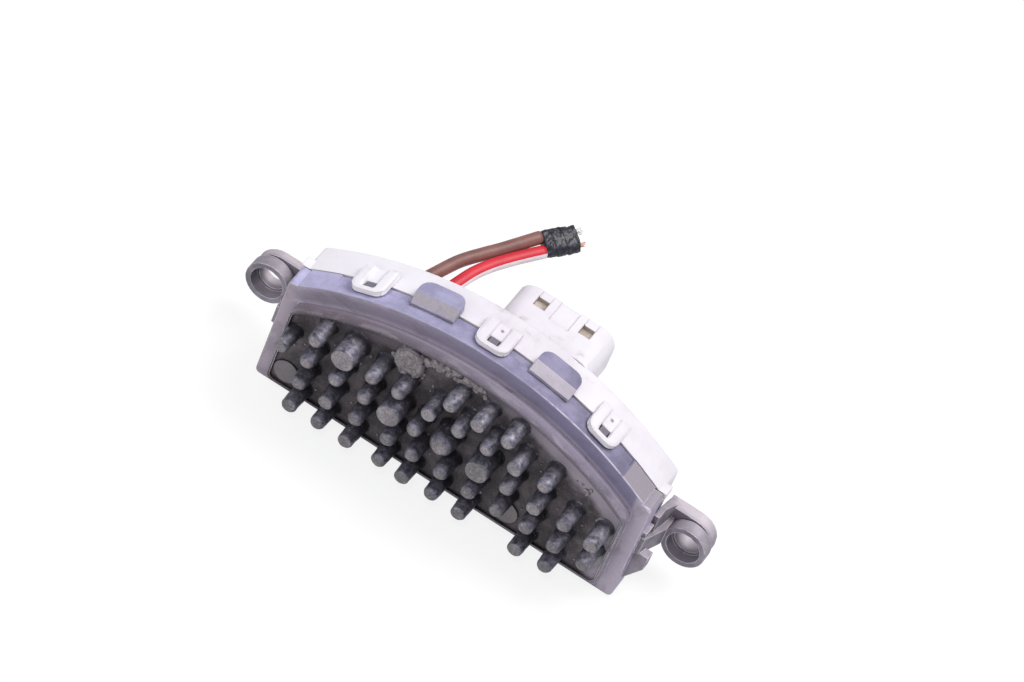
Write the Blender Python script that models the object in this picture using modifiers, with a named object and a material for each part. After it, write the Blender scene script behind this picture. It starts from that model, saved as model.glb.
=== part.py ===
"""Blower motor resistor: a die-cast pin-field heat sink with a snapped-on moulded cover.

The row stands on the straight edge of its casting. X runs along that edge, the cooling
pins point towards -Y and the arched side is up (+Z). The origin lies on the underside of
the straight edge, half way through the flange's thickness. Depths below are read from the
flange's front face, and an empty carries them into the row's frame.
"""

import math

import bmesh
import bpy
from mathutils import Matrix, Vector

MM = 0.001

# Clearances
GAP = 0.3 * MM
FASTENER_CLEARANCE = 0.3 * MM
OVERLAP = 0.6 * MM

# Flange of the casting: a segment of a disc standing on its chord
HALF_WIDTH = 50.5 * MM
CROWN_HEIGHT = 47.3 * MM
ARC_RADIUS = 90.3 * MM
LAND_WIDTH = 2.6 * MM
LAND_DROP = 0.6 * MM
FACET_WIDTH = 6.4 * MM
FLANGE_DEPTH = 6.5 * MM
FLANGE_CORNER = 1.2 * MM
LAND_CORNER = 0.9 * MM
EDGE_SOFTENING = 0.4 * MM
LEDGE_FRONT = 4.2 * MM
LEDGE_HEIGHT = 0.4 * MM
LEDGE_TO_FACET = 0.9 * MM
ARC_STEPS = 18

# Raised plinth with a thin lip round the recess that carries the pins
PLINTH_HEIGHT = 3.95 * MM
PLINTH_MARGIN_SIDE = 3.9 * MM
PLINTH_MARGIN_BASE = 4.5 * MM
PLINTH_MARGIN_ARC = 4.8 * MM
PLINTH_CORNER = 1.8 * MM
LIP_WIDTH = 0.8 * MM
RECESS_DEPTH = 0.75 * MM

# Cooling pins. One letter a column from the left: d domed, f flat, D and F the thick
# ones, s a short thin one, and a dot where there is none.
PIN_LENGTH = 7.6 * MM
PIN_MARGIN_LEFT = 1.2 * MM
PIN_MARGIN_RIGHT = 3.0 * MM
PIN_MARGIN_BASE = 2.5 * MM
PIN_MARGIN_CROWN = 4.7 * MM
PIN_TO_LIP = 0.2 * MM
PIN_MOST_DROP = 0.8 * MM
PIN_RADIUS = 1.85 * MM
PIN_DRAFT = 0.3 * MM
THICK_PIN_RADIUS = 2.95 * MM
SHORT_PIN_RADIUS = 1.6 * MM
SHORT_PIN_LENGTH = 7.3 * MM
PIN_SIDES = 14
PIN_ROWS = (
    ".fdfdfdf.fd.",
    ".dfddddddddd",
    "sdddFdDFdfdf",
    ".dFddfddfd..",
)
# Sideways steps of single pins off their column, by row and column
PIN_SHIFTS = {
    (2, 0): 0.8 * MM,
    (0, 4): 1.1 * MM,
    (1, 4): 1.0 * MM,
    (2, 4): -0.8 * MM,
    (3, 4): -0.8 * MM,
    (2, 5): -1.9 * MM,
    (2, 6): -2.6 * MM,
}
TOP_ROW_KINDS = "dfd"
TOP_ROW_MIDDLE = 6.9 * MM
TOP_ROW_SHARE = 0.76
STUMP_X = -15.1 * MM
STUMP_RADIUS = 3.3 * MM
STUMP_HEIGHT = 1.5 * MM
EJECTOR_RADIUS = 3.4 * MM
EJECTOR_HEIGHT = 0.4 * MM
EJECTOR_LIFT = 4.2 * MM
EJECTOR_COLUMNS = (0.3, 8.1)

# Lugs and clips along the arch, both about a middle that sits a little to the left
TOP_FEATURE_MIDDLE = -0.7 * MM
LUG_WIDTH = 11.6 * MM
LUG_HEIGHT = 2.3 * MM
LUG_FRONT = 3.3 * MM
LUG_BACK = 10.9 * MM
LUG_CORNER = 2.8 * MM
LUG_SLOPE = 2.9 * MM
LUG_ROOT_INSET = 0.12 * MM
CLIP_TO_FACET = 9.5 * MM
CLIP_WIDTH = 9.0 * MM
CLIP_FRONT = 1.5 * MM
CLIP_BACK = 10.7 * MM
CLIP_THICKNESS = 1.35 * MM
CLIP_CORNER = 2.6 * MM
CLIP_LEG = 2.9 * MM
CLIP_TROUGH = 0.85 * MM
CLIP_TROUGH_FRONT = 5.7 * MM
WINDOW_WIDTH = 3.0 * MM
WINDOW_FRONT = 2.8 * MM
WINDOW_LENGTH = 2.7 * MM
CLIP_HOLE_RADIUS = 0.4 * MM
CLIP_HOLE_FRONT = 8.6 * MM

# Cover
COVER_DEPTH = 9.5 * MM
COVER_WALL = 1.8 * MM
COVER_BACK_WALL = 1.6 * MM
COVER_SIDE_INSET = 0.9 * MM
COVER_SOFTENING = 0.6 * MM
SKIRT_DEPTH = 3.3 * MM
SKIRT_PROUD = 0.5 * MM
SKIRT_HEIGHT = 1.6 * MM

# Connector shroud moulded on the cover's back
SHROUD_MIDDLE = 8.0 * MM
SHROUD_WIDTH = 26.4 * MM
SHROUD_BELOW_CROWN = 1.3 * MM
SHROUD_TALL = 13.0 * MM
SHROUD_LENGTH = 13.2 * MM
SHROUD_WALL = 1.6 * MM
SHROUD_CORNER = 4.5 * MM
SHROUD_FOOT_CORNER = 2.0 * MM
LATCH_SPREAD = 6.3 * MM
LATCH_WIDTH = 3.2 * MM
LATCH_LENGTH = 3.6 * MM
LATCH_TO_MOUTH = 2.5 * MM
NOTCH_DEPTH = 0.6 * MM
SADDLE_DEPTH = 0.8 * MM
SADDLE_WIDTH = 5.4 * MM
SADDLE_LENGTH = 7.5 * MM

# Fixing ears and the arms that carry them
EAR_REACH = 8.5 * MM
EAR_Z = 14.3 * MM
EAR_FRONT = 12.7 * MM
EAR_LENGTH = 6.5 * MM
EAR_RADIUS = 5.8 * MM
EAR_BORE_RADIUS = 3.6 * MM
EAR_COUNTERBORE_RADIUS = 4.4 * MM
EAR_COUNTERBORE_DEPTH = 3.0 * MM
EAR_NECK_LENGTH = 3.0 * MM
EAR_NECK_INSET = 0.3 * MM
EAR_PLATE_RADIUS = 5.9 * MM
EAR_PLATE_SHIFT = (-0.6 * MM, 0.3 * MM)
EAR_PLATE_FRONT = 2.7 * MM
RIGHT_PLATE_PROUD = 0.8 * MM
LEFT_PLATE_PROUD = -0.3 * MM
ARM_THICKNESS = 3.4 * MM
ARM_HEIGHT = 5.6 * MM
ARM_ROOT_TOP = 21.0 * MM
ARM_ROOT_FRONT = 2.2 * MM
ARM_TO_EAR = 0.4 * MM
ARM_DROP = 3.8 * MM
ARM_TO_COVER = 0.7 * MM
GUSSET_THICKNESS = 1.4 * MM
GUSSET_FOOT_THICKNESS = 2.6 * MM
GUSSET_RISE = 4.5 * MM
GUSSET_FRONT = 7.1 * MM
GUSSET_LEVEL = 3.6 * MM
PRONG_REACH = 3.8 * MM
PRONG_FRONT = 2.6 * MM
PRONG_THICKNESS = 2.6 * MM
PRONG_TOP = 15.6 * MM
PRONG_SHOULDER = 4.2 * MM
PRONG_LENGTH = 10.2 * MM

# Pocket in the back of the casting, and the posts for the board
RIM_WIDTH = 3.2 * MM
POCKET_DEPTH = 2.5 * MM
POST_RADIUS = 3.2 * MM
POST_BORE_RADIUS = 1.55 * MM
POST_INSET = 13.5 * MM
POST_HEIGHT = 8.5 * MM
TOP_POST_BELOW_CROWN = 12.8 * MM
BOARD_FRONT = 10.0 * MM
BOARD_THICKNESS = 1.6 * MM
BOARD_MARGIN = 3.4 * MM

# Fasteners
SCREW_RADIUS = 1.25 * MM
SCREW_HEAD_RADIUS = 2.6 * MM
SCREW_HEAD_HEIGHT = 1.6 * MM
SCREW_GRIP = 4.6 * MM

# Power transistors, screwed flat on the casting over insulating pads
TRANSISTOR_TO_CHOKE = 6.4 * MM
TRANSISTOR_BASE = 16.0 * MM
TRANSISTOR_WIDTH = 10.2 * MM
TRANSISTOR_BODY = 9.2 * MM
TRANSISTOR_TAB = 6.2 * MM
TRANSISTOR_THICKNESS = 4.3 * MM
TAB_THICKNESS = 1.3 * MM
LEG_PITCH = 2.54 * MM
LEG_WIDTH = 0.8 * MM
LEG_REACH = 3.2 * MM
PAD_THICKNESS = 0.3 * MM
PAD_BORDER = 0.8 * MM

# Other parts on the board
CAPACITOR_TO_TRANSISTOR = 6.9 * MM
CAPACITOR_RADIUS = 2.5 * MM
CAPACITOR_LENGTH = 11.0 * MM
CAPACITOR_BASE = 15.0 * MM
CHOKE_RADIUS = 2.5 * MM
CHOKE_LENGTH = 15.0 * MM
CHOKE_FLANGE = 1.6 * MM
CHOKE_WAIST = 0.5 * MM
CHOKE_Z = 18.0 * MM
CHIP_PLACE = (-8.0 * MM, 20.0 * MM)
CHIP_SIZE = (8.6 * MM, 3.9 * MM, 1.5 * MM)
CHIP_LEGS = 7
SHUNT_PLACE = (-25.0 * MM, 26.0 * MM)
SHUNT_LENGTH = 12.0 * MM
SHUNT_WIDTH = 3.0 * MM
SHUNT_HEIGHT = 2.2 * MM
SHUNT_THICKNESS = 0.9 * MM
TERMINAL_SPACING = 4.8 * MM
TERMINAL_COUNT = 4
TERMINAL_WIDTH = 2.0 * MM
TERMINAL_THICKNESS = 0.8 * MM
TERMINAL_LENGTH = 9.0 * MM
TERMINAL_FOOT = 0.8 * MM
TERMINAL_FOOT_BORDER = 0.6 * MM
TERMINAL_TAIL = 2.4 * MM

# Motor leads, cut off and taped together
LEAD_RADIUS = 1.65 * MM
LEAD_BELOW_CROWN = 9.8 * MM
BROWN_LEAD_X = -25.6 * MM
RED_LEAD_X = -19.6 * MM
BROWN_ROUTE = (
    (-25.4, 18.5, 37.8),
    (-23.9, 22.3, 38.6),
    (-21.3, 29.1, 39.2),
    (-18.1, 34.7, 39.6),
    (-15.6, 38.7, 39.9),
    (-13.5, 42.1, 40.1),
)
RED_ROUTE = (
    (-19.4, 18.9, 37.8),
    (-18.2, 23.6, 38.6),
    (-16.9, 28.5, 38.9),
    (-14.6, 33.7, 39.3),
    (-11.6, 38.9, 39.6),
)
LEAD_POINT_STEP = 4.0 * MM
FERRULE_RADIUS = 2.2 * MM
FERRULE_LENGTH = 1.4 * MM
FERRULE_FOOT = 0.5 * MM
TAPE_START = (-8.4, 47.4, 40.3)
TAPE_END = (-3.2, 54.3, 40.6)
TAPE_TILT = 25.0
TAPE_WIDTH = 7.3 * MM
TAPE_THICKNESS = 4.1 * MM
STRAND_RADIUS = 0.75 * MM
STRAND_LENGTH = 2.6 * MM
LEAD_OFFSET = 1.8 * MM
LEAD_RUN_IN = 3.2 * MM

# Worked out from the sizes above
ARC_CENTRE_Z = CROWN_HEIGHT - ARC_RADIUS
RECESS_HALF = HALF_WIDTH - PLINTH_MARGIN_SIDE - LIP_WIDTH
RECESS_BASE = PLINTH_MARGIN_BASE + LIP_WIDTH
RECESS_SHRINK = PLINTH_MARGIN_ARC + LIP_WIDTH
PIN_FIRST_COLUMN = -RECESS_HALF + PIN_MARGIN_LEFT
PIN_PITCH = (RECESS_HALF - PIN_MARGIN_RIGHT - PIN_FIRST_COLUMN) / (len(PIN_ROWS[0]) - 1)
PIN_FIRST_ROW = RECESS_BASE + PIN_MARGIN_BASE
PIN_LAST_ROW = CROWN_HEIGHT - RECESS_SHRINK - PIN_MARGIN_CROWN
PIN_ROW_PITCH = (PIN_LAST_ROW - PIN_FIRST_ROW) / (len(PIN_ROWS) - 1 + TOP_ROW_SHARE)
CLIP_SPREAD = HALF_WIDTH - LAND_WIDTH - FACET_WIDTH - CLIP_TO_FACET
LUG_SPREAD = CLIP_SPREAD / 2
SHROUD_TOP = CROWN_HEIGHT - SHROUD_BELOW_CROWN
LEAD_HEIGHT = CROWN_HEIGHT - LEAD_BELOW_CROWN
EAR_X = HALF_WIDTH + EAR_REACH
TRANSISTOR_X = CHOKE_LENGTH / 2 + TRANSISTOR_TO_CHOKE + TRANSISTOR_WIDTH / 2
TRANSISTOR_OUTER_X = TRANSISTOR_X + TRANSISTOR_WIDTH / 2
CAPACITOR_X = TRANSISTOR_OUTER_X + CAPACITOR_TO_TRANSISTOR + CAPACITOR_RADIUS
POST_PLACES = (
    (-HALF_WIDTH + POST_INSET, POST_HEIGHT),
    (HALF_WIDTH - POST_INSET, POST_HEIGHT),
    (0.0, CROWN_HEIGHT - TOP_POST_BELOW_CROWN),
)
FLOOR_DEPTH = FLANGE_DEPTH - POCKET_DEPTH
PIN_FLOOR = -PLINTH_HEIGHT + RECESS_DEPTH
COVER_FRONT = FLANGE_DEPTH + GAP
COVER_BACK = COVER_FRONT + COVER_DEPTH
COVER_HALF_WIDTH = HALF_WIDTH - COVER_SIDE_INSET
COVER_INNER_BACK = COVER_BACK - COVER_BACK_WALL
SHROUD_MOUTH = COVER_BACK + SHROUD_LENGTH
SHROUD_BOTTOM = SHROUD_TOP - SHROUD_TALL
BOARD_BACK = BOARD_FRONT + BOARD_THICKNESS
ON_BOARD = BOARD_BACK + GAP
EAR_BACK = EAR_FRONT + EAR_LENGTH
TERMINAL_Z = SHROUD_TOP - SHROUD_TALL / 2
ARM_INNER_X = COVER_HALF_WIDTH + ARM_TO_COVER
TRANSISTOR_BACK = FLOOR_DEPTH + 2 * GAP + PAD_THICKNESS


def arc_height(x, shrink=0.0):
    """Height of the arched outline above the straight edge, at a place along it."""
    return ARC_CENTRE_Z + math.sqrt((ARC_RADIUS - shrink) ** 2 - x * x)


def clear_scene():
    for obj in list(bpy.data.objects):
        bpy.data.objects.remove(obj, do_unlink=True)


def new_collection(name):
    collection = bpy.data.collections.new(name)
    bpy.context.scene.collection.children.link(collection)
    return collection


def new_material(name, colour, roughness, metallic=0.0):
    material = bpy.data.materials.new(name)
    material.use_nodes = True
    shader = material.node_tree.nodes["Principled BSDF"]
    shader.inputs["Base Color"].default_value = (*colour, 1.0)
    shader.inputs["Roughness"].default_value = roughness
    shader.inputs["Metallic"].default_value = metallic
    material.diffuse_color = (*colour, 1.0)
    return material


clear_scene()
PARTS = new_collection("blower_motor_resistor")
TOOLS = new_collection("cutters")
FRAME = bpy.data.objects.new("flange_front", None)
FRAME.location = (0, -FLANGE_DEPTH / 2, 0)
PARTS.objects.link(FRAME)

CAST_ALUMINIUM = new_material("cast_aluminium", (0.24, 0.23, 0.25), 0.5, 0.8)
WHITE_PLASTIC = new_material("white_plastic", (0.8, 0.78, 0.76), 0.5)
BOARD_GREEN = new_material("board_green", (0.03, 0.16, 0.07), 0.45)
BLACK_MOULDING = new_material("black_moulding", (0.02, 0.02, 0.022), 0.4)
GREY_PAD = new_material("grey_pad", (0.35, 0.36, 0.38), 0.8)
PLATED_STEEL = new_material("plated_steel", (0.6, 0.6, 0.58), 0.35, 1.0)
TINNED_BRASS = new_material("tinned_brass", (0.7, 0.66, 0.55), 0.3, 1.0)
FERRITE = new_material("ferrite", (0.05, 0.05, 0.055), 0.7)
SLEEVE_BLUE = new_material("sleeve_blue", (0.03, 0.06, 0.2), 0.35)
COPPER = new_material("copper", (0.72, 0.38, 0.22), 0.35, 1.0)
BROWN_INSULATION = new_material("brown_insulation", (0.27, 0.12, 0.1), 0.45)
RED_INSULATION = new_material("red_insulation", (0.7, 0.04, 0.06), 0.4)
BLACK_TAPE = new_material("black_tape", (0.012, 0.012, 0.018), 0.25)


def add_part(name, mesh, material):
    """Put a mesh in the scene as one named piece of the product."""
    obj = bpy.data.objects.new(name, mesh)
    PARTS.objects.link(obj)
    obj.parent = FRAME
    mesh.materials.clear()
    mesh.materials.append(material)
    mesh.shade_smooth()
    mesh.set_sharp_from_angle(angle=math.radians(32))
    return obj


def add_tool(name, mesh):
    """Put a mesh in the scene as a helper that other pieces are cut or joined with."""
    obj = bpy.data.objects.new(name, mesh)
    TOOLS.objects.link(obj)
    obj.parent = FRAME
    obj.hide_render = True
    obj.display_type = "WIRE"
    return obj


def combine(target, mesh, operation, name):
    modifier = target.modifiers.new(name, "BOOLEAN")
    modifier.operation = operation
    modifier.solver = "EXACT"
    modifier.object = add_tool(f"{target.name}_{name}", mesh)


def cut(target, mesh, name):
    combine(target, mesh, "DIFFERENCE", name)


def fuse(target, mesh, name):
    combine(target, mesh, "UNION", name)


def as_mesh(source, name):
    """The evaluated mesh of a construction object, welded, with the object removed."""
    bpy.context.view_layer.update()
    graph = bpy.context.evaluated_depsgraph_get()
    mesh = bpy.data.meshes.new_from_object(source.evaluated_get(graph))
    mesh.name = name
    mesh.transform(source.matrix_world)
    work = bmesh.new()
    work.from_mesh(mesh)
    bmesh.ops.remove_doubles(work, verts=work.verts, dist=1e-6)
    bmesh.ops.recalc_face_normals(work, faces=work.faces)
    work.to_mesh(mesh)
    work.free()
    bpy.data.objects.remove(source, do_unlink=True)
    return mesh


def moved(mesh, matrix):
    mesh.transform(matrix)
    return mesh


def joined(meshes, name):
    """Several meshes that don't touch, as one."""
    work = bmesh.new()
    for mesh in meshes:
        work.from_mesh(mesh)
    result = bpy.data.meshes.new(name)
    work.to_mesh(result)
    work.free()
    return result


def rounded(corners, steps=3):
    """An outline through corners (x, y, radius), each one turned by an arc."""
    points = []
    for index, (x, y, radius) in enumerate(corners):
        here = Vector((x, y))
        if radius <= 0:
            points.append(here)
            continue
        before = (Vector(corners[index - 1][:2]) - here).normalized()
        after = (Vector(corners[(index + 1) % len(corners)][:2]) - here).normalized()
        half = before.angle(after) / 2
        centre = here + (before + after).normalized() * (radius / math.sin(half))
        start = here + before * (radius / math.tan(half)) - centre
        end = here + after * (radius / math.tan(half)) - centre
        swing = math.atan2(start.cross(end), start.dot(end))
        for step in range(steps + 1):
            points.append(centre + Matrix.Rotation(swing * step / steps, 2) @ start)
    return points


def slab(outline, low, high, name):
    """A flat outline in X and Y, filled and made thick from one height to another."""
    curve = bpy.data.curves.new(name, "CURVE")
    curve.dimensions = "2D"
    curve.fill_mode = "BOTH"
    curve.extrude = (high - low) / 2
    spline = curve.splines.new("POLY")
    spline.points.add(len(outline) - 1)
    for point, place in zip(spline.points, outline, strict=True):
        point.co = (place[0], place[1], 0, 1)
    spline.use_cyclic_u = True
    guide = bpy.data.objects.new(name, curve)
    guide.location = (0, 0, (high + low) / 2)
    bpy.context.scene.collection.objects.link(guide)
    mesh = as_mesh(guide, name)
    work = bmesh.new()
    work.from_mesh(mesh)
    bmesh.ops.dissolve_limit(work, angle_limit=0.005, verts=work.verts, edges=work.edges)
    work.to_mesh(mesh)
    work.free()
    return mesh


# Turns an outline drawn in X and Y so that it stands in X and Z, its thickness along Y
STAND_UP = Matrix(((1, 0, 0, 0), (0, 0, 1, 0), (0, 1, 0, 0), (0, 0, 0, 1)))


def plate(outline, front, back, name):
    """An outline in X and Z made thick from a front depth to a back depth."""
    mesh = slab(outline, front, back, name)
    mesh.transform(STAND_UP)
    mesh.flip_normals()
    return mesh


def softened(mesh, depth, width, steps=2):
    """Round the outline edges of a plate at one depth."""
    work = bmesh.new()
    work.from_mesh(mesh)
    edges = [
        edge
        for edge in work.edges
        if all(abs(vert.co.y - depth) < 1e-6 for vert in edge.verts)
        and edge.calc_face_angle(0) > 1.0
    ]
    bmesh.ops.bevel(
        work, geom=edges, offset=width, segments=steps, profile=0.5, affect="EDGES"
    )
    work.to_mesh(mesh)
    work.free()
    return mesh


def box(x, y, z, name):
    """A box between (low, high) pairs along the three axes."""
    work = bmesh.new()
    size = [pair[1] - pair[0] for pair in (x, y, z)]
    middle = [(pair[1] + pair[0]) / 2 for pair in (x, y, z)]
    matrix = Matrix.Translation(middle) @ Matrix.Diagonal((*size, 1))
    bmesh.ops.create_cube(work, size=1, matrix=matrix)
    mesh = bpy.data.meshes.new(name)
    work.to_mesh(mesh)
    work.free()
    return mesh


def rod(x, z, radius, front, back, name, sides=24):
    """A cylinder along Y between two depths."""
    work = bmesh.new()
    turn = Matrix.Rotation(math.pi / 2, 4, "X")
    matrix = Matrix.Translation((x, (front + back) / 2, z)) @ turn
    bmesh.ops.create_cone(
        work,
        cap_ends=True,
        segments=sides,
        radius1=radius,
        radius2=radius,
        depth=back - front,
        matrix=matrix,
    )
    mesh = bpy.data.meshes.new(name)
    work.to_mesh(mesh)
    work.free()
    return mesh


def turned(profile, name, sides=24):
    """A shape turned about Z from a profile (radius, height) that runs from its top down."""
    mesh = bpy.data.meshes.new(name)
    verts = [(radius, 0, height) for radius, height in profile]
    mesh.from_pydata(verts, [(i, i + 1) for i in range(len(verts) - 1)], [])
    guide = bpy.data.objects.new(name, mesh)
    bpy.context.scene.collection.objects.link(guide)
    screw = guide.modifiers.new("turn", "SCREW")
    screw.axis = "Z"
    screw.steps = sides
    screw.render_steps = sides
    screw.use_merge_vertices = True
    screw.merge_threshold = 1e-6
    return as_mesh(guide, name)


def d_outline(half_width, base, shrink, corner, land=True):
    """The segment outline: a straight base, upright sides and the arched top."""
    corners = [(-half_width, base, corner), (half_width, base, corner)]
    if land:
        edge = half_width - LAND_WIDTH
        facet = edge - FACET_WIDTH
        land_height = arc_height(edge, shrink) - LAND_DROP
        right = [
            (half_width, land_height, LAND_CORNER),
            (edge, land_height, 0),
            (edge, arc_height(edge, shrink), 0),
        ]
    else:
        facet = half_width - 2 * corner
        right = [(half_width, arc_height(half_width, shrink), corner)]
    swing = math.asin(facet / (ARC_RADIUS - shrink))
    arc = []
    for step in range(ARC_STEPS + 1):
        angle = swing * (1 - 2 * step / ARC_STEPS)
        x = (ARC_RADIUS - shrink) * math.sin(angle)
        arc.append((x, arc_height(x, shrink), 0))
    left = [(-x, z, radius) for x, z, radius in reversed(right)]
    return rounded(corners + right + arc + left)


def swung(x):
    """Carries what is made at the crown along the arch to another place."""
    angle = math.asin(x / ARC_RADIUS)
    pivot = Matrix.Translation((0, 0, ARC_CENTRE_Z))
    return pivot @ Matrix.Rotation(angle, 4, "Y") @ pivot.inverted()


def pin_radius(kind):
    return {"D": THICK_PIN_RADIUS, "F": THICK_PIN_RADIUS, "s": SHORT_PIN_RADIUS}.get(
        kind, PIN_RADIUS
    )


def pin_mesh(kind):
    """One cooling pin standing on the recess floor, its foot sunk into the casting."""
    radius = pin_radius(kind)
    length = SHORT_PIN_LENGTH if kind == "s" else PIN_LENGTH
    foot = radius + PIN_DRAFT
    if kind in "dD":
        dome = 0.62 * radius
        crown = [
            (0, length),
            (0.52 * radius, length - 0.16 * dome),
            (0.87 * radius, length - 0.5 * dome),
            (radius, length - dome),
        ]
    else:
        crown = [(0, length), (radius - 0.25 * MM, length), (radius, length - 0.25 * MM)]
    return turned([*crown, (foot, -OVERLAP), (0, -OVERLAP)], "pin", PIN_SIDES)


def below_lip(x, radius):
    """The greatest height that the arched lip leaves for a foot of that radius."""
    return arc_height(x, RECESS_SHRINK + PIN_TO_LIP + radius)


def pin_places(parity):
    """Kind and place of the cooling pins in every other column, row by row."""
    places = []
    for row, kinds in enumerate(PIN_ROWS):
        for column, kind in enumerate(kinds):
            shift = PIN_SHIFTS.get((row, column), 0)
            x = PIN_FIRST_COLUMN + column * PIN_PITCH + shift
            if column % 2 == parity:
                places.append((kind, x, PIN_FIRST_ROW + row * PIN_ROW_PITCH))
    for column, kind in enumerate(TOP_ROW_KINDS):
        step = column - (len(TOP_ROW_KINDS) - 1) / 2
        if column % 2 == parity:
            places.append((kind, TOP_ROW_MIDDLE + step * PIN_PITCH, PIN_LAST_ROW))
    kept = []
    for kind, x, z in places:
        room = below_lip(x, pin_radius(kind) + PIN_DRAFT)
        if kind != "." and room > z - PIN_MOST_DROP:
            kept.append((kind, x, min(z, room)))
    return kept


def pin_field(parity):
    """The pins of every other column as one mesh, pointing out of the recess floor."""
    out = Matrix.Rotation(math.pi / 2, 4, "X")
    shapes = {kind: pin_mesh(kind) for kind in "dfDFs"}
    pins = []
    for kind, x, z in pin_places(parity):
        copy = shapes[kind].copy()
        pins.append(moved(copy, Matrix.Translation((x, PIN_FLOOR, z)) @ out))
    return joined(pins, "pin_field")


def floor_discs():
    """The ejector marks and the stump of a lost pin, low discs on the recess floor."""
    inside = PIN_FLOOR + OVERLAP
    discs = [
        rod(
            PIN_FIRST_COLUMN + column * PIN_PITCH,
            RECESS_BASE + EJECTOR_LIFT,
            EJECTOR_RADIUS,
            PIN_FLOOR - EJECTOR_HEIGHT,
            inside,
            "disc",
        )
        for column in EJECTOR_COLUMNS
    ]
    stump_z = below_lip(STUMP_X, STUMP_RADIUS)
    front = PIN_FLOOR - STUMP_HEIGHT
    discs.append(rod(STUMP_X, stump_z, STUMP_RADIUS, front, inside, "disc"))
    return joined(discs, "floor_discs")


def lug(x):
    """A rounded tab of the casting that leans back over the cover."""
    half = LUG_WIDTH / 2
    outline = rounded(
        [
            (-half, LUG_FRONT, 0),
            (half, LUG_FRONT, 0),
            (half, LUG_BACK, LUG_CORNER),
            (-half, LUG_BACK, LUG_CORNER),
        ],
        4,
    )
    top = CROWN_HEIGHT + LUG_HEIGHT
    mesh = slab(outline, CROWN_HEIGHT + GAP, top, "lug")
    for vert in mesh.vertices:
        if vert.co.z > top - GAP and vert.co.y < LUG_FRONT + GAP:
            vert.co.y += LUG_SLOPE
    return moved(mesh, swung(x))


def lug_root(x):
    """The foot that ties a lug to the top wall of the flange."""
    mesh = box(
        (-LUG_WIDTH / 2 + LUG_ROOT_INSET, LUG_WIDTH / 2 - LUG_ROOT_INSET),
        (LUG_FRONT + LUG_ROOT_INSET, FLANGE_DEPTH - 0.1 * MM),
        (CROWN_HEIGHT - 1.5 * MM, CROWN_HEIGHT + 2 * GAP),
        "lug_root",
    )
    return moved(mesh, swung(x))


def catch(x):
    """The block that the window of a clip snaps over."""
    mesh = box(
        (-WINDOW_WIDTH / 2 + GAP, WINDOW_WIDTH / 2 - GAP),
        (WINDOW_FRONT + GAP, WINDOW_FRONT + WINDOW_LENGTH - GAP),
        (CROWN_HEIGHT - 1.5 * MM, CROWN_HEIGHT + GAP + 0.6 * CLIP_THICKNESS),
        "catch",
    )
    return moved(mesh, swung(x))


def loft(rings, name):
    """A body of straight sides through quadrilaterals with the same order of corners."""
    work = bmesh.new()
    loops = [[work.verts.new(corner) for corner in ring] for ring in rings]
    work.faces.new(loops[0])
    work.faces.new(list(reversed(loops[-1])))
    for near, far in zip(loops, loops[1:]):
        for i in range(4):
            j = (i + 1) % 4
            work.faces.new((near[j], near[i], far[i], far[j]))
    bmesh.ops.recalc_face_normals(work, faces=work.faces)
    mesh = bpy.data.meshes.new(name)
    work.to_mesh(mesh)
    work.free()
    return mesh


def upright(inner, outer, depth, low, high):
    """The corners of an upright rectangle across X and Z at one depth."""
    return [(inner, depth, low), (outer, depth, low), (outer, depth, high), (inner, depth, high)]


def arm():
    """The arm from the side wall of the flange back to the ear, made for the right side."""
    outer = ARM_INNER_X + ARM_THICKNESS
    low = ARM_ROOT_TOP - ARM_HEIGHT
    root_outer = HALF_WIDTH + 1.2 * MM
    knee = EAR_FRONT - ARM_TO_EAR
    rings = [
        upright(HALF_WIDTH - OVERLAP, root_outer, ARM_ROOT_FRONT, low, ARM_ROOT_TOP),
        upright(ARM_INNER_X, outer, knee, low - ARM_DROP, ARM_ROOT_TOP - ARM_DROP),
        upright(ARM_INNER_X, outer, EAR_BACK - 0.4 * MM, low - ARM_DROP, ARM_ROOT_TOP - ARM_DROP),
    ]
    return loft(rings, "arm")


def arm_root_block():
    """The thick root where an arm leaves the side wall."""
    return box(
        (HALF_WIDTH - OVERLAP, HALF_WIDTH + 1.0 * MM),
        (ARM_ROOT_FRONT + 0.3 * MM, FLANGE_DEPTH - 0.1 * MM),
        (ARM_ROOT_TOP - ARM_HEIGHT + 0.2 * MM, ARM_ROOT_TOP + 1.6 * MM),
        "arm_root_block",
    )


def ear_plate(proud):
    """The teardrop plate behind the ear, its top level as far as the ear's middle."""
    inner = ARM_INNER_X + 0.2 * MM
    middle_x = EAR_X + EAR_PLATE_SHIFT[0]
    middle_z = EAR_Z + EAR_PLATE_SHIFT[1]
    outline = [(inner, EAR_Z - 1.0 * MM), (inner, middle_z + EAR_PLATE_RADIUS)]
    for step in range(13):
        angle = math.radians(90 - 15 * step)
        x = middle_x + EAR_PLATE_RADIUS * math.cos(angle)
        outline.append((x, middle_z + EAR_PLATE_RADIUS * math.sin(angle)))
    return plate(outline, EAR_BACK - EAR_PLATE_FRONT, EAR_BACK + proud, "ear_plate")


def gusset():
    """The upright rib that rises from the ear plate towards the flange."""
    top = EAR_Z + EAR_RADIUS
    low = ARM_ROOT_TOP - ARM_DROP - 1.0 * MM
    inner = ARM_INNER_X + 0.1 * MM
    outer = inner + GUSSET_THICKNESS
    foot = inner + GUSSET_FOOT_THICKNESS
    rings = [
        upright(inner, outer, GUSSET_FRONT, low, top + GUSSET_RISE),
        upright(inner, outer, GUSSET_FRONT + GUSSET_LEVEL, low, top + GUSSET_RISE),
        upright(inner, foot, EAR_BACK - 0.5 * MM, low, top + 0.2 * MM),
    ]
    return loft(rings, "gusset")


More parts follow.
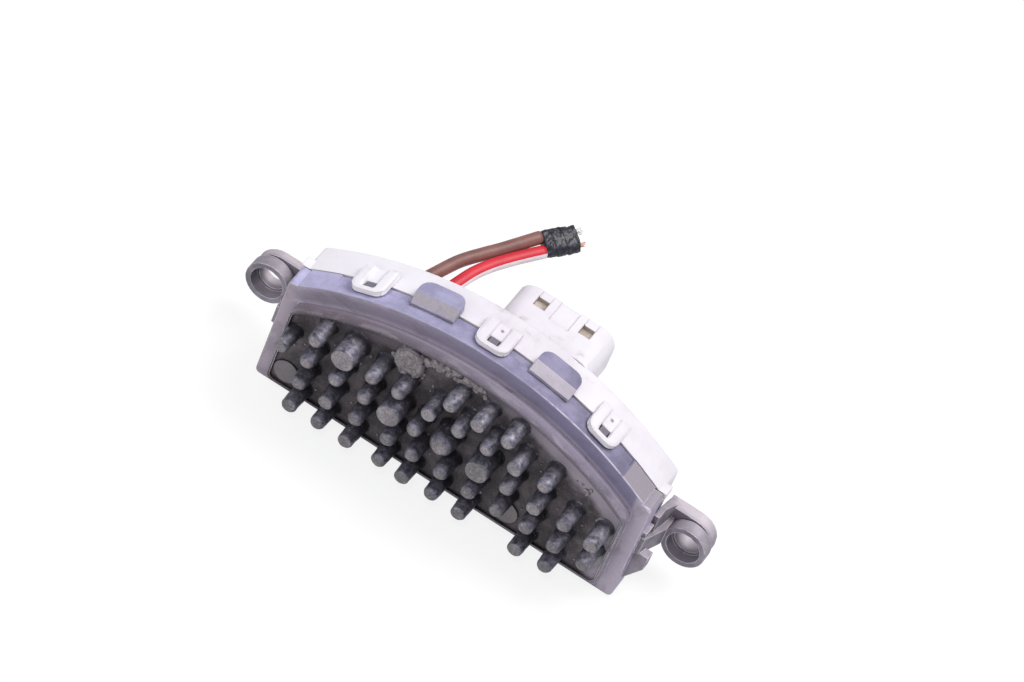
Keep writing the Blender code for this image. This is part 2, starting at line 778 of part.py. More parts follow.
def prong():
    """The small hooked wedge low on the right side wall."""
    root = HALF_WIDTH - OVERLAP
    tip = HALF_WIDTH + PRONG_REACH
    outline = [
        (root, PRONG_TOP),
        (root, PRONG_TOP - PRONG_LENGTH),
        (HALF_WIDTH + 0.1 * MM, PRONG_TOP - PRONG_LENGTH),
        (tip, PRONG_TOP - PRONG_SHOULDER),
        (tip, PRONG_TOP),
    ]
    return plate(outline, PRONG_FRONT, PRONG_FRONT + PRONG_THICKNESS, "prong")


def ear_boss():
    """The ring of an ear and the slimmer neck behind it."""
    step = EAR_BACK - EAR_NECK_LENGTH
    front = rod(EAR_X, EAR_Z, EAR_RADIUS, EAR_FRONT, step, "ear_boss", 40)
    slim = EAR_RADIUS - EAR_NECK_INSET
    neck = rod(EAR_X, EAR_Z, slim, step - OVERLAP, EAR_BACK, "ear_neck", 40)
    return front, neck


def mirrored(mesh):
    """The same shape on the left side."""
    copy = mesh.copy()
    copy.transform(Matrix.Scale(-1, 4, (1, 0, 0)))
    copy.flip_normals()
    return copy


def flange_ledge():
    """The band taken off the arched wall behind its front part."""
    end = HALF_WIDTH - LAND_WIDTH - FACET_WIDTH - LEDGE_TO_FACET
    swing = math.asin(end / ARC_RADIUS)
    outline = []
    for radius, way in ((ARC_RADIUS - LEDGE_HEIGHT, 1), (ARC_RADIUS + 2 * MM, -1)):
        for step in range(ARC_STEPS + 1):
            angle = way * swing * (1 - 2 * step / ARC_STEPS)
            x = radius * math.sin(angle)
            outline.append((x, ARC_CENTRE_Z + radius * math.cos(angle)))
    return plate(outline, LEDGE_FRONT, FLANGE_DEPTH + 1 * MM, "ledge")


def ear_bores():
    """The stepped fixing bores of both ears."""
    bores = []
    for side in (-1, 1):
        bore = rod(
            side * EAR_X,
            EAR_Z,
            EAR_BORE_RADIUS,
            EAR_FRONT + EAR_COUNTERBORE_DEPTH - 0.5 * MM,
            EAR_BACK + 1 * MM,
            "bore",
            32,
        )
        bores.append(bore)
    return joined(bores, "bores")


def ear_counterbores():
    depth = EAR_FRONT + EAR_COUNTERBORE_DEPTH
    bores = [
        rod(side * EAR_X, EAR_Z, EAR_COUNTERBORE_RADIUS, EAR_FRONT - 1 * MM, depth, "bore", 32)
        for side in (-1, 1)
    ]
    return joined(bores, "counterbores")


def screw_bores():
    """Tapped holes for the board screws and the transistor screws."""
    bores = [
        rod(x, z, POST_BORE_RADIUS, BOARD_FRONT - SCREW_GRIP - 1 * MM, BOARD_FRONT, "bore", 16)
        for x, z in POST_PLACES
    ]
    for side in (-1, 1):
        bottom = TRANSISTOR_BACK + TAB_THICKNESS - SCREW_GRIP - 0.6 * MM
        x, z = side * TRANSISTOR_X, transistor_hole_height()
        bores.append(rod(x, z, POST_BORE_RADIUS, bottom, FLOOR_DEPTH + 1 * MM, "bore", 16))
    return joined(bores, "screw_bores")


def make_heat_sink():
    """The die casting: flange, plinth, pins, lugs, catches, arms and ears in one piece."""
    body = plate(d_outline(HALF_WIDTH, 0, 0, FLANGE_CORNER), 0, FLANGE_DEPTH, "heat_sink")
    sink = add_part("heat_sink", softened(body, 0, EDGE_SOFTENING), CAST_ALUMINIUM)
    plinth_half = HALF_WIDTH - PLINTH_MARGIN_SIDE
    plinth_outline = d_outline(
        plinth_half, PLINTH_MARGIN_BASE, PLINTH_MARGIN_ARC, PLINTH_CORNER, land=False
    )
    plinth = plate(plinth_outline, -PLINTH_HEIGHT, OVERLAP, "plinth")
    fuse(sink, softened(plinth, -PLINTH_HEIGHT, 0.25 * MM, 1), "plinth")
    recess_outline = d_outline(
        RECESS_HALF, RECESS_BASE, RECESS_SHRINK, PLINTH_CORNER - LIP_WIDTH / 2, land=False
    )
    cut(sink, plate(recess_outline, -PLINTH_HEIGHT - 1 * MM, PIN_FLOOR, "recess"), "recess")
    pocket_outline = d_outline(
        HALF_WIDTH - RIM_WIDTH, RIM_WIDTH, RIM_WIDTH, FLANGE_CORNER, land=False
    )
    cut(sink, plate(pocket_outline, FLOOR_DEPTH, FLANGE_DEPTH + 1 * MM, "pocket"), "pocket")
    cut(sink, flange_ledge(), "ledge")
    fuse(sink, floor_discs(), "discs")
    for parity, name in enumerate(("even_pins", "odd_pins")):
        fuse(sink, pin_field(parity), name)
    places = [TOP_FEATURE_MIDDLE + way * LUG_SPREAD for way in (-1, 1)]
    fuse(sink, joined([lug_root(x) for x in places], "lug_roots"), "lug_roots")
    fuse(sink, joined([lug(x) for x in places], "lugs"), "lugs")
    fuse(sink, joined([catch(x) for x in clip_places()], "catches"), "catches")
    posts = [
        rod(x, z, POST_RADIUS, FLOOR_DEPTH - OVERLAP, BOARD_FRONT - GAP, "post", 20)
        for x, z in POST_PLACES
    ]
    fuse(sink, joined(posts, "posts"), "posts")
    front, neck = ear_boss()
    for name, mesh in (
        ("ear", front),
        ("neck", neck),
        ("arm", arm()),
        ("arm_block", arm_root_block()),
        ("gusset", gusset()),
    ):
        fuse(sink, joined([mesh, mirrored(mesh)], name), name)
    plates = [ear_plate(RIGHT_PLATE_PROUD), mirrored(ear_plate(LEFT_PLATE_PROUD))]
    fuse(sink, joined(plates, "ear_plates"), "ear_plates")
    fuse(sink, prong(), "prong")
    cut(sink, ear_bores(), "bores")
    cut(sink, ear_counterbores(), "counterbores")
    cut(sink, screw_bores(), "screw_bores")
    return sink


def clip_places():
    return [TOP_FEATURE_MIDDLE + way * CLIP_SPREAD for way in (-1, 0, 1)]


def clip_leaf(x):
    """The springy leaf of a clip, reaching forward over the flange."""
    half = CLIP_WIDTH / 2
    outline = rounded(
        [
            (-half, CLIP_FRONT, CLIP_CORNER),
            (half, CLIP_FRONT, CLIP_CORNER),
            (half, CLIP_BACK, 0),
            (-half, CLIP_BACK, 0),
        ],
        4,
    )
    low = CROWN_HEIGHT + GAP
    return moved(slab(outline, low, low + CLIP_THICKNESS, "clip"), swung(x))


def clip_root(x):
    """The root of a clip, on the top wall of the cover."""
    mesh = box(
        (-CLIP_WIDTH / 2 + 0.1 * MM, CLIP_WIDTH / 2 - 0.1 * MM),
        (COVER_FRONT + 0.1 * MM, CLIP_BACK - 0.1 * MM),
        (CROWN_HEIGHT - 1 * MM, CROWN_HEIGHT + 2 * GAP),
        "clip_root",
    )
    return moved(mesh, swung(x))


def clip_cuts(x):
    """Window, trough between the legs and the small hole of one clip."""
    top = CROWN_HEIGHT + GAP + CLIP_THICKNESS
    window = box(
        (-WINDOW_WIDTH / 2, WINDOW_WIDTH / 2),
        (WINDOW_FRONT, WINDOW_FRONT + WINDOW_LENGTH),
        (CROWN_HEIGHT - 0.2 * MM, top + 1 * MM),
        "window",
    )
    trough_half = CLIP_WIDTH / 2 - CLIP_LEG
    trough = box(
        (-trough_half, trough_half),
        (CLIP_TROUGH_FRONT, CLIP_BACK + 1 * MM),
        (top - CLIP_TROUGH, top + 1 * MM),
        "trough",
    )
    hole = bmesh.new()
    bmesh.ops.create_cone(
        hole,
        cap_ends=True,
        segments=10,
        radius1=CLIP_HOLE_RADIUS,
        radius2=CLIP_HOLE_RADIUS,
        depth=1.2 * MM,
        matrix=Matrix.Translation((0, CLIP_HOLE_FRONT, top - CLIP_TROUGH)),
    )
    hole_mesh = bpy.data.meshes.new("hole")
    hole.to_mesh(hole_mesh)
    hole.free()
    return [moved(mesh, swung(x)) for mesh in (window, trough, hole_mesh)]


def shroud_outline(inset):
    """The connector shroud's section, drawn in X and Z."""
    low_x = SHROUD_MIDDLE - SHROUD_WIDTH / 2 + inset
    high_x = SHROUD_MIDDLE + SHROUD_WIDTH / 2 - inset
    foot = max(SHROUD_FOOT_CORNER - inset, 0.4 * MM)
    return rounded(
        [
            (low_x, SHROUD_BOTTOM + inset, foot),
            (high_x, SHROUD_BOTTOM + inset, foot),
            (high_x, SHROUD_TOP - inset, SHROUD_CORNER - inset),
            (low_x, SHROUD_TOP - inset, SHROUD_CORNER - inset),
        ],
        5,
    )


def terminal_places():
    middle = (TERMINAL_COUNT - 1) / 2
    return [SHROUD_MIDDLE + (i - middle) * TERMINAL_SPACING for i in range(TERMINAL_COUNT)]


def around(x, z, width, height, clearance):
    """X and Z pairs of a rectangle about a middle, widened by a clearance."""
    return (
        (x - width / 2 - clearance, x + width / 2 + clearance),
        (z - height / 2 - clearance, z + height / 2 + clearance),
    )


def terminal_slots(front, back):
    slots = []
    for x in terminal_places():
        across, tall = around(x, TERMINAL_Z, TERMINAL_WIDTH, TERMINAL_THICKNESS, GAP)
        slots.append(box(across, (front, back), tall, "slot"))
    return joined(slots, "slots")


def make_cover():
    """The white moulding: a shallow lid with three snap clips and the connector shroud."""
    outline = d_outline(COVER_HALF_WIDTH, 0, 0, FLANGE_CORNER, land=False)
    lid = plate(outline, COVER_FRONT, COVER_BACK, "cover")
    cover = add_part("cover", softened(lid, COVER_BACK, COVER_SOFTENING), WHITE_PLASTIC)
    skirt_top = arc_height(HALF_WIDTH - LAND_WIDTH) - LAND_DROP
    skirt = box(
        (COVER_HALF_WIDTH - 1.2 * MM, HALF_WIDTH + SKIRT_PROUD),
        (COVER_FRONT, COVER_FRONT + SKIRT_DEPTH),
        (skirt_top - SKIRT_HEIGHT, skirt_top),
        "skirt",
    )
    fuse(cover, joined([skirt, mirrored(skirt)], "skirts"), "skirts")
    shroud = plate(shroud_outline(0), COVER_BACK - OVERLAP, SHROUD_MOUTH, "shroud")
    fuse(cover, softened(shroud, SHROUD_MOUTH, 0.4 * MM, 1), "shroud")
    inner = d_outline(
        COVER_HALF_WIDTH - COVER_WALL, COVER_WALL, COVER_WALL, FLANGE_CORNER, land=False
    )
    cut(cover, plate(inner, COVER_FRONT - 1 * MM, COVER_INNER_BACK, "hollow"), "hollow")
    socket = plate(shroud_outline(SHROUD_WALL), COVER_BACK, SHROUD_MOUTH + 1 * MM, "socket")
    cut(cover, socket, "socket")
    windows, notches = latch_shapes()
    cut(cover, windows, "latches")
    cut(cover, notches, "notches")
    cut(cover, saddle(), "saddle")
    cut(cover, terminal_slots(COVER_INNER_BACK - 1 * MM, COVER_BACK + 1 * MM), "slots")
    holes = [
        rod(
            x,
            LEAD_HEIGHT,
            LEAD_RADIUS + GAP,
            COVER_INNER_BACK - 1 * MM,
            COVER_BACK + 1 * MM,
            "hole",
        )
        for x in (BROWN_LEAD_X, RED_LEAD_X)
    ]
    cut(cover, joined(holes, "lead_holes"), "lead_holes")
    fuse(cover, joined([clip_root(x) for x in clip_places()], "clip_roots"), "clip_roots")
    fuse(cover, joined([clip_leaf(x) for x in clip_places()], "clips"), "clips")
    for index, x in enumerate(clip_places()):
        for mesh, part in zip(clip_cuts(x), ("window", "trough", "hole"), strict=True):
            cut(cover, mesh, f"{part}_{index}")
    return cover


def latch_shapes():
    """Cutters of the latch windows and of the low strips between them and the mouth."""
    windows = []
    notches = []
    for way in (-1, 1):
        x = SHROUD_MIDDLE + way * LATCH_SPREAD
        half = LATCH_WIDTH / 2
        back = SHROUD_MOUTH - LATCH_TO_MOUTH
        windows.append(
            box(
                (x - half, x + half),
                (back - LATCH_LENGTH, back),
                (SHROUD_TOP - 2 * SHROUD_WALL, SHROUD_TOP + 1 * MM),
                "latch",
            )
        )
        notches.append(
            box(
                (x - half + 0.1 * MM, x + half + 0.1 * MM),
                (back - 0.4 * MM, SHROUD_MOUTH + 1 * MM),
                (SHROUD_TOP - NOTCH_DEPTH, SHROUD_TOP + 2 * MM),
                "notch",
            )
        )
    return joined(windows, "windows"), joined(notches, "notches")


def saddle():
    """The shallow low place of the shroud's top between the latches."""
    return box(
        (SHROUD_MIDDLE - SADDLE_WIDTH / 2, SHROUD_MIDDLE + SADDLE_WIDTH / 2),
        (SHROUD_MOUTH - SADDLE_LENGTH, SHROUD_MOUTH + 1 * MM),
        (SHROUD_TOP - SADDLE_DEPTH, SHROUD_TOP + 1 * MM),
        "saddle",
    )


def make_board():
    """The circuit board, on the three posts of the casting."""
    outline = d_outline(
        COVER_HALF_WIDTH - BOARD_MARGIN, BOARD_MARGIN, BOARD_MARGIN, FLANGE_CORNER, land=False
    )
    board = add_part(
        "circuit_board", plate(outline, BOARD_FRONT, BOARD_BACK, "board"), BOARD_GREEN
    )
    before, behind = BOARD_FRONT - 1 * MM, BOARD_BACK + 1 * MM
    holes = [
        rod(x, z, SCREW_RADIUS + FASTENER_CLEARANCE, before, behind, "hole", 16)
        for x, z in POST_PLACES
    ]
    cut(board, joined(holes, "screw_holes"), "screw_holes")
    cut(board, terminal_slots(before, behind), "slots")
    return board


def screw_mesh(x, z, seat):
    """A pan-head screw whose head sits behind its seat, its shank pointing forward."""
    head = [
        (0, SCREW_HEAD_HEIGHT),
        (0.6 * SCREW_HEAD_RADIUS, SCREW_HEAD_HEIGHT),
        (SCREW_HEAD_RADIUS, 0.55 * SCREW_HEAD_HEIGHT),
        (SCREW_HEAD_RADIUS, 0),
        (SCREW_RADIUS, 0),
        (SCREW_RADIUS, -SCREW_GRIP + 0.5 * MM),
        (0.6 * SCREW_RADIUS, -SCREW_GRIP),
        (0, -SCREW_GRIP),
    ]
    mesh = turned(head, "screw", 20)
    back = Matrix.Rotation(-math.pi / 2, 4, "X")
    return moved(mesh, Matrix.Translation((x, seat + GAP, z)) @ back)


def transistor_hole_height():
    return TRANSISTOR_BASE + TRANSISTOR_BODY + TRANSISTOR_TAB / 2


def make_transistor(side, name):
    """A power transistor lying flat, its tab up and its legs bent back to the board."""
    x = side * TRANSISTOR_X
    half = TRANSISTOR_WIDTH / 2
    body_top = TRANSISTOR_BASE + TRANSISTOR_BODY
    body = box(
        (x - half, x + half),
        (TRANSISTOR_BACK, TRANSISTOR_BACK + TRANSISTOR_THICKNESS),
        (TRANSISTOR_BASE, body_top),
        name,
    )
    transistor = add_part(name, body, BLACK_MOULDING)
    tab = box(
        (x - half + 0.1 * MM, x + half - 0.1 * MM),
        (TRANSISTOR_BACK + 0.05 * MM, TRANSISTOR_BACK + TAB_THICKNESS),
        (body_top - 1 * MM, body_top + TRANSISTOR_TAB),
        "tab",
    )
    fuse(transistor, tab, "tab")
    legs = []
    level = TRANSISTOR_BACK + TRANSISTOR_THICKNESS / 2
    for step in (-1, 0, 1):
        middle = x + step * LEG_PITCH
        outline = [
            (level, TRANSISTOR_BASE + 0.5 * MM),
            (level, TRANSISTOR_BASE - LEG_REACH),
            (BOARD_FRONT - GAP, TRANSISTOR_BASE - LEG_REACH),
            (BOARD_FRONT - GAP, TRANSISTOR_BASE - LEG_REACH + LEG_WIDTH),
            (level + LEG_WIDTH, TRANSISTOR_BASE - LEG_REACH + LEG_WIDTH),
            (level + LEG_WIDTH, TRANSISTOR_BASE + 0.5 * MM),
        ]
        leg = slab(outline, middle - LEG_WIDTH / 2, middle + LEG_WIDTH / 2, "leg")
        turn = Matrix(((0, 0, 1, 0), (1, 0, 0, 0), (0, 1, 0, 0), (0, 0, 0, 1)))
        legs.append(moved(leg, turn))
    fuse(transistor, joined(legs, "legs"), "legs")
    hole = rod(
        x,
        transistor_hole_height(),
        SCREW_RADIUS + FASTENER_CLEARANCE,
        TRANSISTOR_BACK - 1 * MM,
        TRANSISTOR_BACK + TAB_THICKNESS + 1 * MM,
        "hole",
        16,
    )
    cut(transistor, hole, "screw_hole")


def make_pad(side, name):
    """The insulating pad between a transistor and the casting."""
    x = side * TRANSISTOR_X
    half = TRANSISTOR_WIDTH / 2 + PAD_BORDER
    top = TRANSISTOR_BASE + TRANSISTOR_BODY + TRANSISTOR_TAB + PAD_BORDER
    front = FLOOR_DEPTH + GAP
    sheet = box(
        (x - half, x + half), (front, front + PAD_THICKNESS), (TRANSISTOR_BASE, top), name
    )
    pad = add_part(name, sheet, GREY_PAD)
    hole = rod(
        x,
        transistor_hole_height(),
        SCREW_RADIUS + FASTENER_CLEARANCE,
        front - 1 * MM,
        front + 1 * MM,
        "hole",
        16,
    )
    cut(pad, hole, "screw_hole")


def make_capacitor(side, name):
    """A small electrolytic can lying under the board, its crimp groove near the foot."""
    height = CAPACITOR_LENGTH
    profile = [
        (0, height),
        (CAPACITOR_RADIUS - 0.3 * MM, height),
        (CAPACITOR_RADIUS, height - 0.3 * MM),
        (CAPACITOR_RADIUS, 1.7 * MM),
        (CAPACITOR_RADIUS - 0.3 * MM, 1.4 * MM),
        (CAPACITOR_RADIUS, 1.1 * MM),
        (CAPACITOR_RADIUS, 0),
        (0, 0),
    ]
    mesh = turned(profile, name, 24)
    depth = BOARD_FRONT - GAP - CAPACITOR_RADIUS
    place = Matrix.Translation((side * CAPACITOR_X, depth, CAPACITOR_BASE))
    add_part(name, moved(mesh, place), SLEEVE_BLUE)


def make_choke():
    """The suppression choke: a winding on a rod between two end flanges."""
    half = CHOKE_LENGTH / 2
    waist = CHOKE_RADIUS - CHOKE_WAIST
    profile = [
        (0, half),
        (CHOKE_RADIUS, half),
        (CHOKE_RADIUS, half - CHOKE_FLANGE),
        (waist, half - CHOKE_FLANGE),
        (waist, -half + CHOKE_FLANGE),
        (CHOKE_RADIUS, -half + CHOKE_FLANGE),
        (CHOKE_RADIUS, -half),
        (0, -half),
    ]
    mesh = turned(profile, "choke", 24)
    depth = BOARD_FRONT - GAP - CHOKE_RADIUS
    place = Matrix.Translation((0, depth, CHOKE_Z)) @ Matrix.Rotation(math.pi / 2, 4, "Y")
    add_part("choke", moved(mesh, place), FERRITE)


def make_chip():
    """The control chip on the back of the board, with its row of legs on either side."""
    x, z = CHIP_PLACE
    long, wide, high = CHIP_SIZE
    across, tall = around(x, z, long, wide, 0)
    chip = add_part(
        "control_chip",
        box(across, (ON_BOARD + 0.1 * MM, ON_BOARD + high), tall, "chip"),
        BLACK_MOULDING,
    )
    legs = []
    pitch = 1.2 * MM
    for index in range(CHIP_LEGS):
        middle = x + (index - (CHIP_LEGS - 1) / 2) * pitch
        across, tall = around(middle, z, 0.45 * MM, wide + 2 * MM, 0)
        legs.append(box(across, (ON_BOARD, ON_BOARD + 0.4 * MM), tall, "leg"))
    fuse(chip, joined(legs, "legs"), "legs")


def make_shunt():
    """The current-sensing shunt: a strip bent into a low bridge."""
    x, z = SHUNT_PLACE
    half = SHUNT_LENGTH / 2
    top = ON_BOARD + SHUNT_HEIGHT
    foot = 2.0 * MM
    outline = [
        (x - half, ON_BOARD),
        (x - half + foot, ON_BOARD),
        (x - half + foot, top - SHUNT_THICKNESS),
        (x + half - foot, top - SHUNT_THICKNESS),
        (x + half - foot, ON_BOARD),
        (x + half, ON_BOARD),
        (x + half, ON_BOARD + SHUNT_THICKNESS),
        (x + half - foot + SHUNT_THICKNESS, ON_BOARD + SHUNT_THICKNESS),
        (x + half - foot + SHUNT_THICKNESS, top),
        (x - half + foot - SHUNT_THICKNESS, top),
        (x - half + foot - SHUNT_THICKNESS, ON_BOARD + SHUNT_THICKNESS),
        (x - half, ON_BOARD + SHUNT_THICKNESS),
    ]
    mesh = slab(outline, z - SHUNT_WIDTH / 2, z + SHUNT_WIDTH / 2, "shunt")
    add_part("shunt_strip", mesh, COPPER)


def make_terminal(index, x):
    """A connector blade: a tail through the board, a foot on it and the contact tongue."""
    across, tall = around(x, TERMINAL_Z, TERMINAL_WIDTH, TERMINAL_THICKNESS, 0)
    tail_front = BOARD_BACK - TERMINAL_TAIL
    blade = box(across, (tail_front, COVER_BACK + TERMINAL_LENGTH), tall, "blade")
    terminal = add_part(f"connector_blade_{index}", blade, TINNED_BRASS)
    across, tall = around(
        x, TERMINAL_Z, TERMINAL_WIDTH, TERMINAL_THICKNESS, TERMINAL_FOOT_BORDER
    )
    foot = box(across, (ON_BOARD, ON_BOARD + TERMINAL_FOOT), tall, "foot")
    fuse(terminal, foot, "foot")


def make_ferrule(name, x):
    """The solder cup on the board that a motor lead ends in."""
    profile = [
        (0, FERRULE_LENGTH),
        (FERRULE_RADIUS - 0.3 * MM, FERRULE_LENGTH),
        (FERRULE_RADIUS - 0.3 * MM, FERRULE_FOOT),
        (FERRULE_RADIUS, FERRULE_FOOT),
        (FERRULE_RADIUS, 0),
        (0, 0),
    ]
    mesh = turned(profile, name, 20)
    back = Matrix.Rotation(-math.pi / 2, 4, "X")
    add_part(name, moved(mesh, Matrix.Translation((x, ON_BOARD, LEAD_HEIGHT)) @ back), TINNED_BRASS)


def smooth_route(points, spacing):
    """Points read at even steps from a smooth curve through the route's own points."""
    knots = [points[0] * 2 - points[1], *points, points[-1] * 2 - points[-2]]
    fine = []
    for before, start, end, after in zip(knots, knots[1:], knots[2:], knots[3:]):
        for step in range(12):
            t = step / 12
            fine.append(
                0.5
                * (
                    2 * start
                    + (end - before) * t
                    + (2 * before - 5 * start + 4 * end - after) * t**2
                    + (3 * start - before - 3 * end + after) * t**3
                )
            )
    fine.append(points[-1])
    lengths = [0.0]
    for start, end in zip(fine, fine[1:]):
        lengths.append(lengths[-1] + (end - start).length)
    count = max(2, round(lengths[-1] / spacing))
    even = []
    index = 0
    for step in range(count + 1):
        target = lengths[-1] * step / count
        while index < len(fine) - 2 and lengths[index + 1] < target:
            index += 1
        part = (target - lengths[index]) / (lengths[index + 1] - lengths[index])
        even.append(fine[index].lerp(fine[index + 1], part))
    return even


def make_lead(name, side, x, route, material):
    """A motor lead: a round tube from its solder cup, out of the cover and to the tape."""
    start = ON_BOARD + FERRULE_LENGTH + GAP
    points = [Vector((x, start, LEAD_HEIGHT)), Vector((x, COVER_BACK, LEAD_HEIGHT))]
    points += [Vector(place) * MM for place in route]
    matrix, _ = tape_frame()
    points += [matrix @ Vector((side * LEAD_OFFSET, -LEAD_RUN_IN, 0))]
    points += [matrix @ Vector((side * LEAD_OFFSET, -GAP, 0))]
    curve = bpy.data.curves.new(name, "CURVE")
    curve.dimensions = "3D"
    curve.bevel_depth = LEAD_RADIUS
    curve.bevel_resolution = 2
    curve.use_fill_caps = True
    spline = curve.splines.new("POLY")
    places = smooth_route(points, LEAD_POINT_STEP)
    spline.points.add(len(places) - 1)
    for point, place in zip(spline.points, places, strict=True):
        point.co = (*place, 1)
    guide = bpy.data.objects.new(name, curve)
    bpy.context.scene.collection.objects.link(guide)
    add_part(name, as_mesh(guide, name), material)


def tape_frame():
    """Place of the tape, with its length along Y and its width along X, and its length."""
    start = Vector(TAPE_START) * MM
    end = Vector(TAPE_END) * MM
    along = (end - start).normalized()
    across = along.cross(Vector((0, 0, 1))).normalized()
    up = across.cross(along)
    matrix = Matrix((across, along, up)).transposed().to_4x4()
    tilt = Matrix.Rotation(math.radians(TAPE_TILT), 4, "Y")
    return Matrix.Translation(start) @ matrix @ tilt, (end - start).length


def make_tape():
    """The tape wound round both cut ends, flattened between them."""
    matrix, length = tape_frame()
    half, thick = TAPE_WIDTH / 2, TAPE_THICKNESS / 2
    outline = rounded(
        [
            (-half, -thick, 0.85 * thick),
            (half, -thick, 0.85 * thick),
            (half, thick, 0.85 * thick),
            (-half, thick, 0.85 * thick),
        ],
        4,
    )
    mesh = plate(outline, 0, length, "tape_wrap")
    add_part("tape_wrap", moved(mesh, matrix), BLACK_TAPE)


def make_strands(name, side):
    """The bare strands of a cut lead, a short ragged cone past the tape."""
    matrix, length = tape_frame()
    profile = [
        (0, STRAND_LENGTH),
        (0.35 * STRAND_RADIUS, 0.9 * STRAND_LENGTH),
        (STRAND_RADIUS, 0.25 * STRAND_LENGTH),
        (STRAND_RADIUS, 0),
        (0, 0),
    ]
    mesh = turned(profile, name, 10)
    ahead = Matrix.Rotation(-math.pi / 2, 4, "X")
    place = Matrix.Translation((side * LEAD_OFFSET, length + GAP, 0))
    add_part(name, moved(mesh, matrix @ place @ ahead), COPPER)


def build():
    make_heat_sink()
    make_cover()
    make_board()
    for index, (x, z) in enumerate(POST_PLACES, 1):
        name = f"board_screw_{index}"
        add_part(name, screw_mesh(x, z, BOARD_BACK), PLATED_STEEL)
    for side, word in ((-1, "left"), (1, "right")):
        make_transistor(side, f"power_transistor_{word}")
        make_pad(side, f"insulating_pad_{word}")
        seat = TRANSISTOR_BACK + TAB_THICKNESS
        mesh = screw_mesh(side * TRANSISTOR_X, transistor_hole_height(), seat)
        add_part(f"transistor_screw_{word}", mesh, PLATED_STEEL)
        make_capacitor(side, f"capacitor_{word}")
    make_choke()
    make_chip()
    make_shunt()
    for index, x in enumerate(terminal_places(), 1):
        make_terminal(index, x)
    make_ferrule("brown_lead_cup", BROWN_LEAD_X)
    make_ferrule("red_lead_cup", RED_LEAD_X)
    make_lead("lead_brown", -1, BROWN_LEAD_X, BROWN_ROUTE, BROWN_INSULATION)
    make_lead("lead_red", 1, RED_LEAD_X, RED_ROUTE, RED_INSULATION)
    make_tape()
    make_strands("copper_strands_brown", -1)
    make_strands("copper_strands_red", 1)


build()
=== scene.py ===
"""Dresses the blower motor resistor: its finishes, the wear on its pins, its leads and tape."""

import math
import random

import bmesh
import bpy
from mathutils import Matrix, Quaternion, Vector, noise


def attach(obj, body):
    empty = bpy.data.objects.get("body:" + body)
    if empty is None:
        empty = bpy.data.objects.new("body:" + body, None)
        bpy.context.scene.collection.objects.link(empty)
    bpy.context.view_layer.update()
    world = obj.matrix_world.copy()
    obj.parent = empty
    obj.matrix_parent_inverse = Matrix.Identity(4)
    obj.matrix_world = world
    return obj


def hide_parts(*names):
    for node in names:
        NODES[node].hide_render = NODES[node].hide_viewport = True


MM = 0.001
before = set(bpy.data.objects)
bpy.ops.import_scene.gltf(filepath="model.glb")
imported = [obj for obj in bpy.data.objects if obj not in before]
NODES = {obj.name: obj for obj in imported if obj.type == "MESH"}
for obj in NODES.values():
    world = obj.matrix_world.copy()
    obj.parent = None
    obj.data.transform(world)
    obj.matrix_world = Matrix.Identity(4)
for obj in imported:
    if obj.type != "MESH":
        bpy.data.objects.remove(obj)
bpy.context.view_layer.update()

# The photo's view: its width in pixels, the lens, and where the camera stands and turns
IMAGE_WIDTH = 1024
SENSOR_WIDTH = 36
FOCAL_PIXELS = 5390.7
CAMERA_PLACE = Vector((180.461, -848.787, 942.265)) * MM
CAMERA_TURN = Vector((-0.7803214, 0.0822539, -0.5898170))

# Sizes of the casting that the dressing follows, in metres
HALF_WIDTH = 50.5 * MM
CROWN_HEIGHT = 47.3 * MM
ARC_RADIUS = 90.3 * MM
FRONT_Y = -3.25 * MM
PIN_FLOOR_Y = FRONT_Y - 3.2 * MM
PLINTH_Y = FRONT_Y - 3.95 * MM
RECESS_HALF = 45.8 * MM
RECESS_BASE = 5.3 * MM
RECESS_SHRINK = 5.6 * MM
ARC_CENTRE_Z = CROWN_HEIGHT - ARC_RADIUS

# Pins from the lowest row up: f flat, d domed, F and D thick, s small, and a dot for none
PIN_ROWS = (
    ".fdfdfdf.fd.",
    ".dfddddddddd",
    "sdddFdDFdfdf",
    ".dFddfddfd..",
)
PIN_SHIFTS = {
    (2, 0): 0.8 * MM,
    (0, 4): 1.1 * MM,
    (1, 4): 1.0 * MM,
    (2, 4): -0.8 * MM,
    (3, 4): -0.8 * MM,
    (2, 5): -1.9 * MM,
    (2, 6): -2.6 * MM,
}
PIN_FIRST_COLUMN = -44.6 * MM
PIN_PITCH = (RECESS_HALF - 3.0 * MM - PIN_FIRST_COLUMN) / 11
PIN_FIRST_ROW = RECESS_BASE + 2.5 * MM
PIN_LAST_ROW = CROWN_HEIGHT - RECESS_SHRINK - 4.7 * MM
PIN_ROW_PITCH = (PIN_LAST_ROW - PIN_FIRST_ROW) / 3.76
PIN_LENGTH, SMALL_LENGTH = 7.6 * MM, 7.3 * MM
PIN_FOOT, PIN_DRAFT, PIN_SKIN = 0.6 * MM, 0.3 * MM, 0.1 * MM
PIN_RADIUS, THICK_RADIUS, SMALL_RADIUS = 1.85 * MM, 2.95 * MM, 1.6 * MM
UPPER_PINS_X = 6.9 * MM
# Pins with a pitted tip, by row and column
PITTED = {(1, 7), (1, 8), (3, 3), (0, 8), (2, 11), (0, 2), (1, 10)}

# The stump of a broken pin and the heaps of crumbs, across and up in millimetres
STUMP_X = -15.1 * MM
STUMP_RIM = 3.95 * MM
STUMP_DROP = 4.4 * MM
HEAPS = ((-18.9, 34.6), (-11.6, 33.4), (-17.6, 38.9), (35.5, 30.4), (41.0, 24.6), (44.0, 20.6))

# Marks of the ejector pins on the recess floor: across, up and radius in millimetres
DISCS = ((-42.2, 9.5, 3.4), (19.8, 9.5, 3.4))

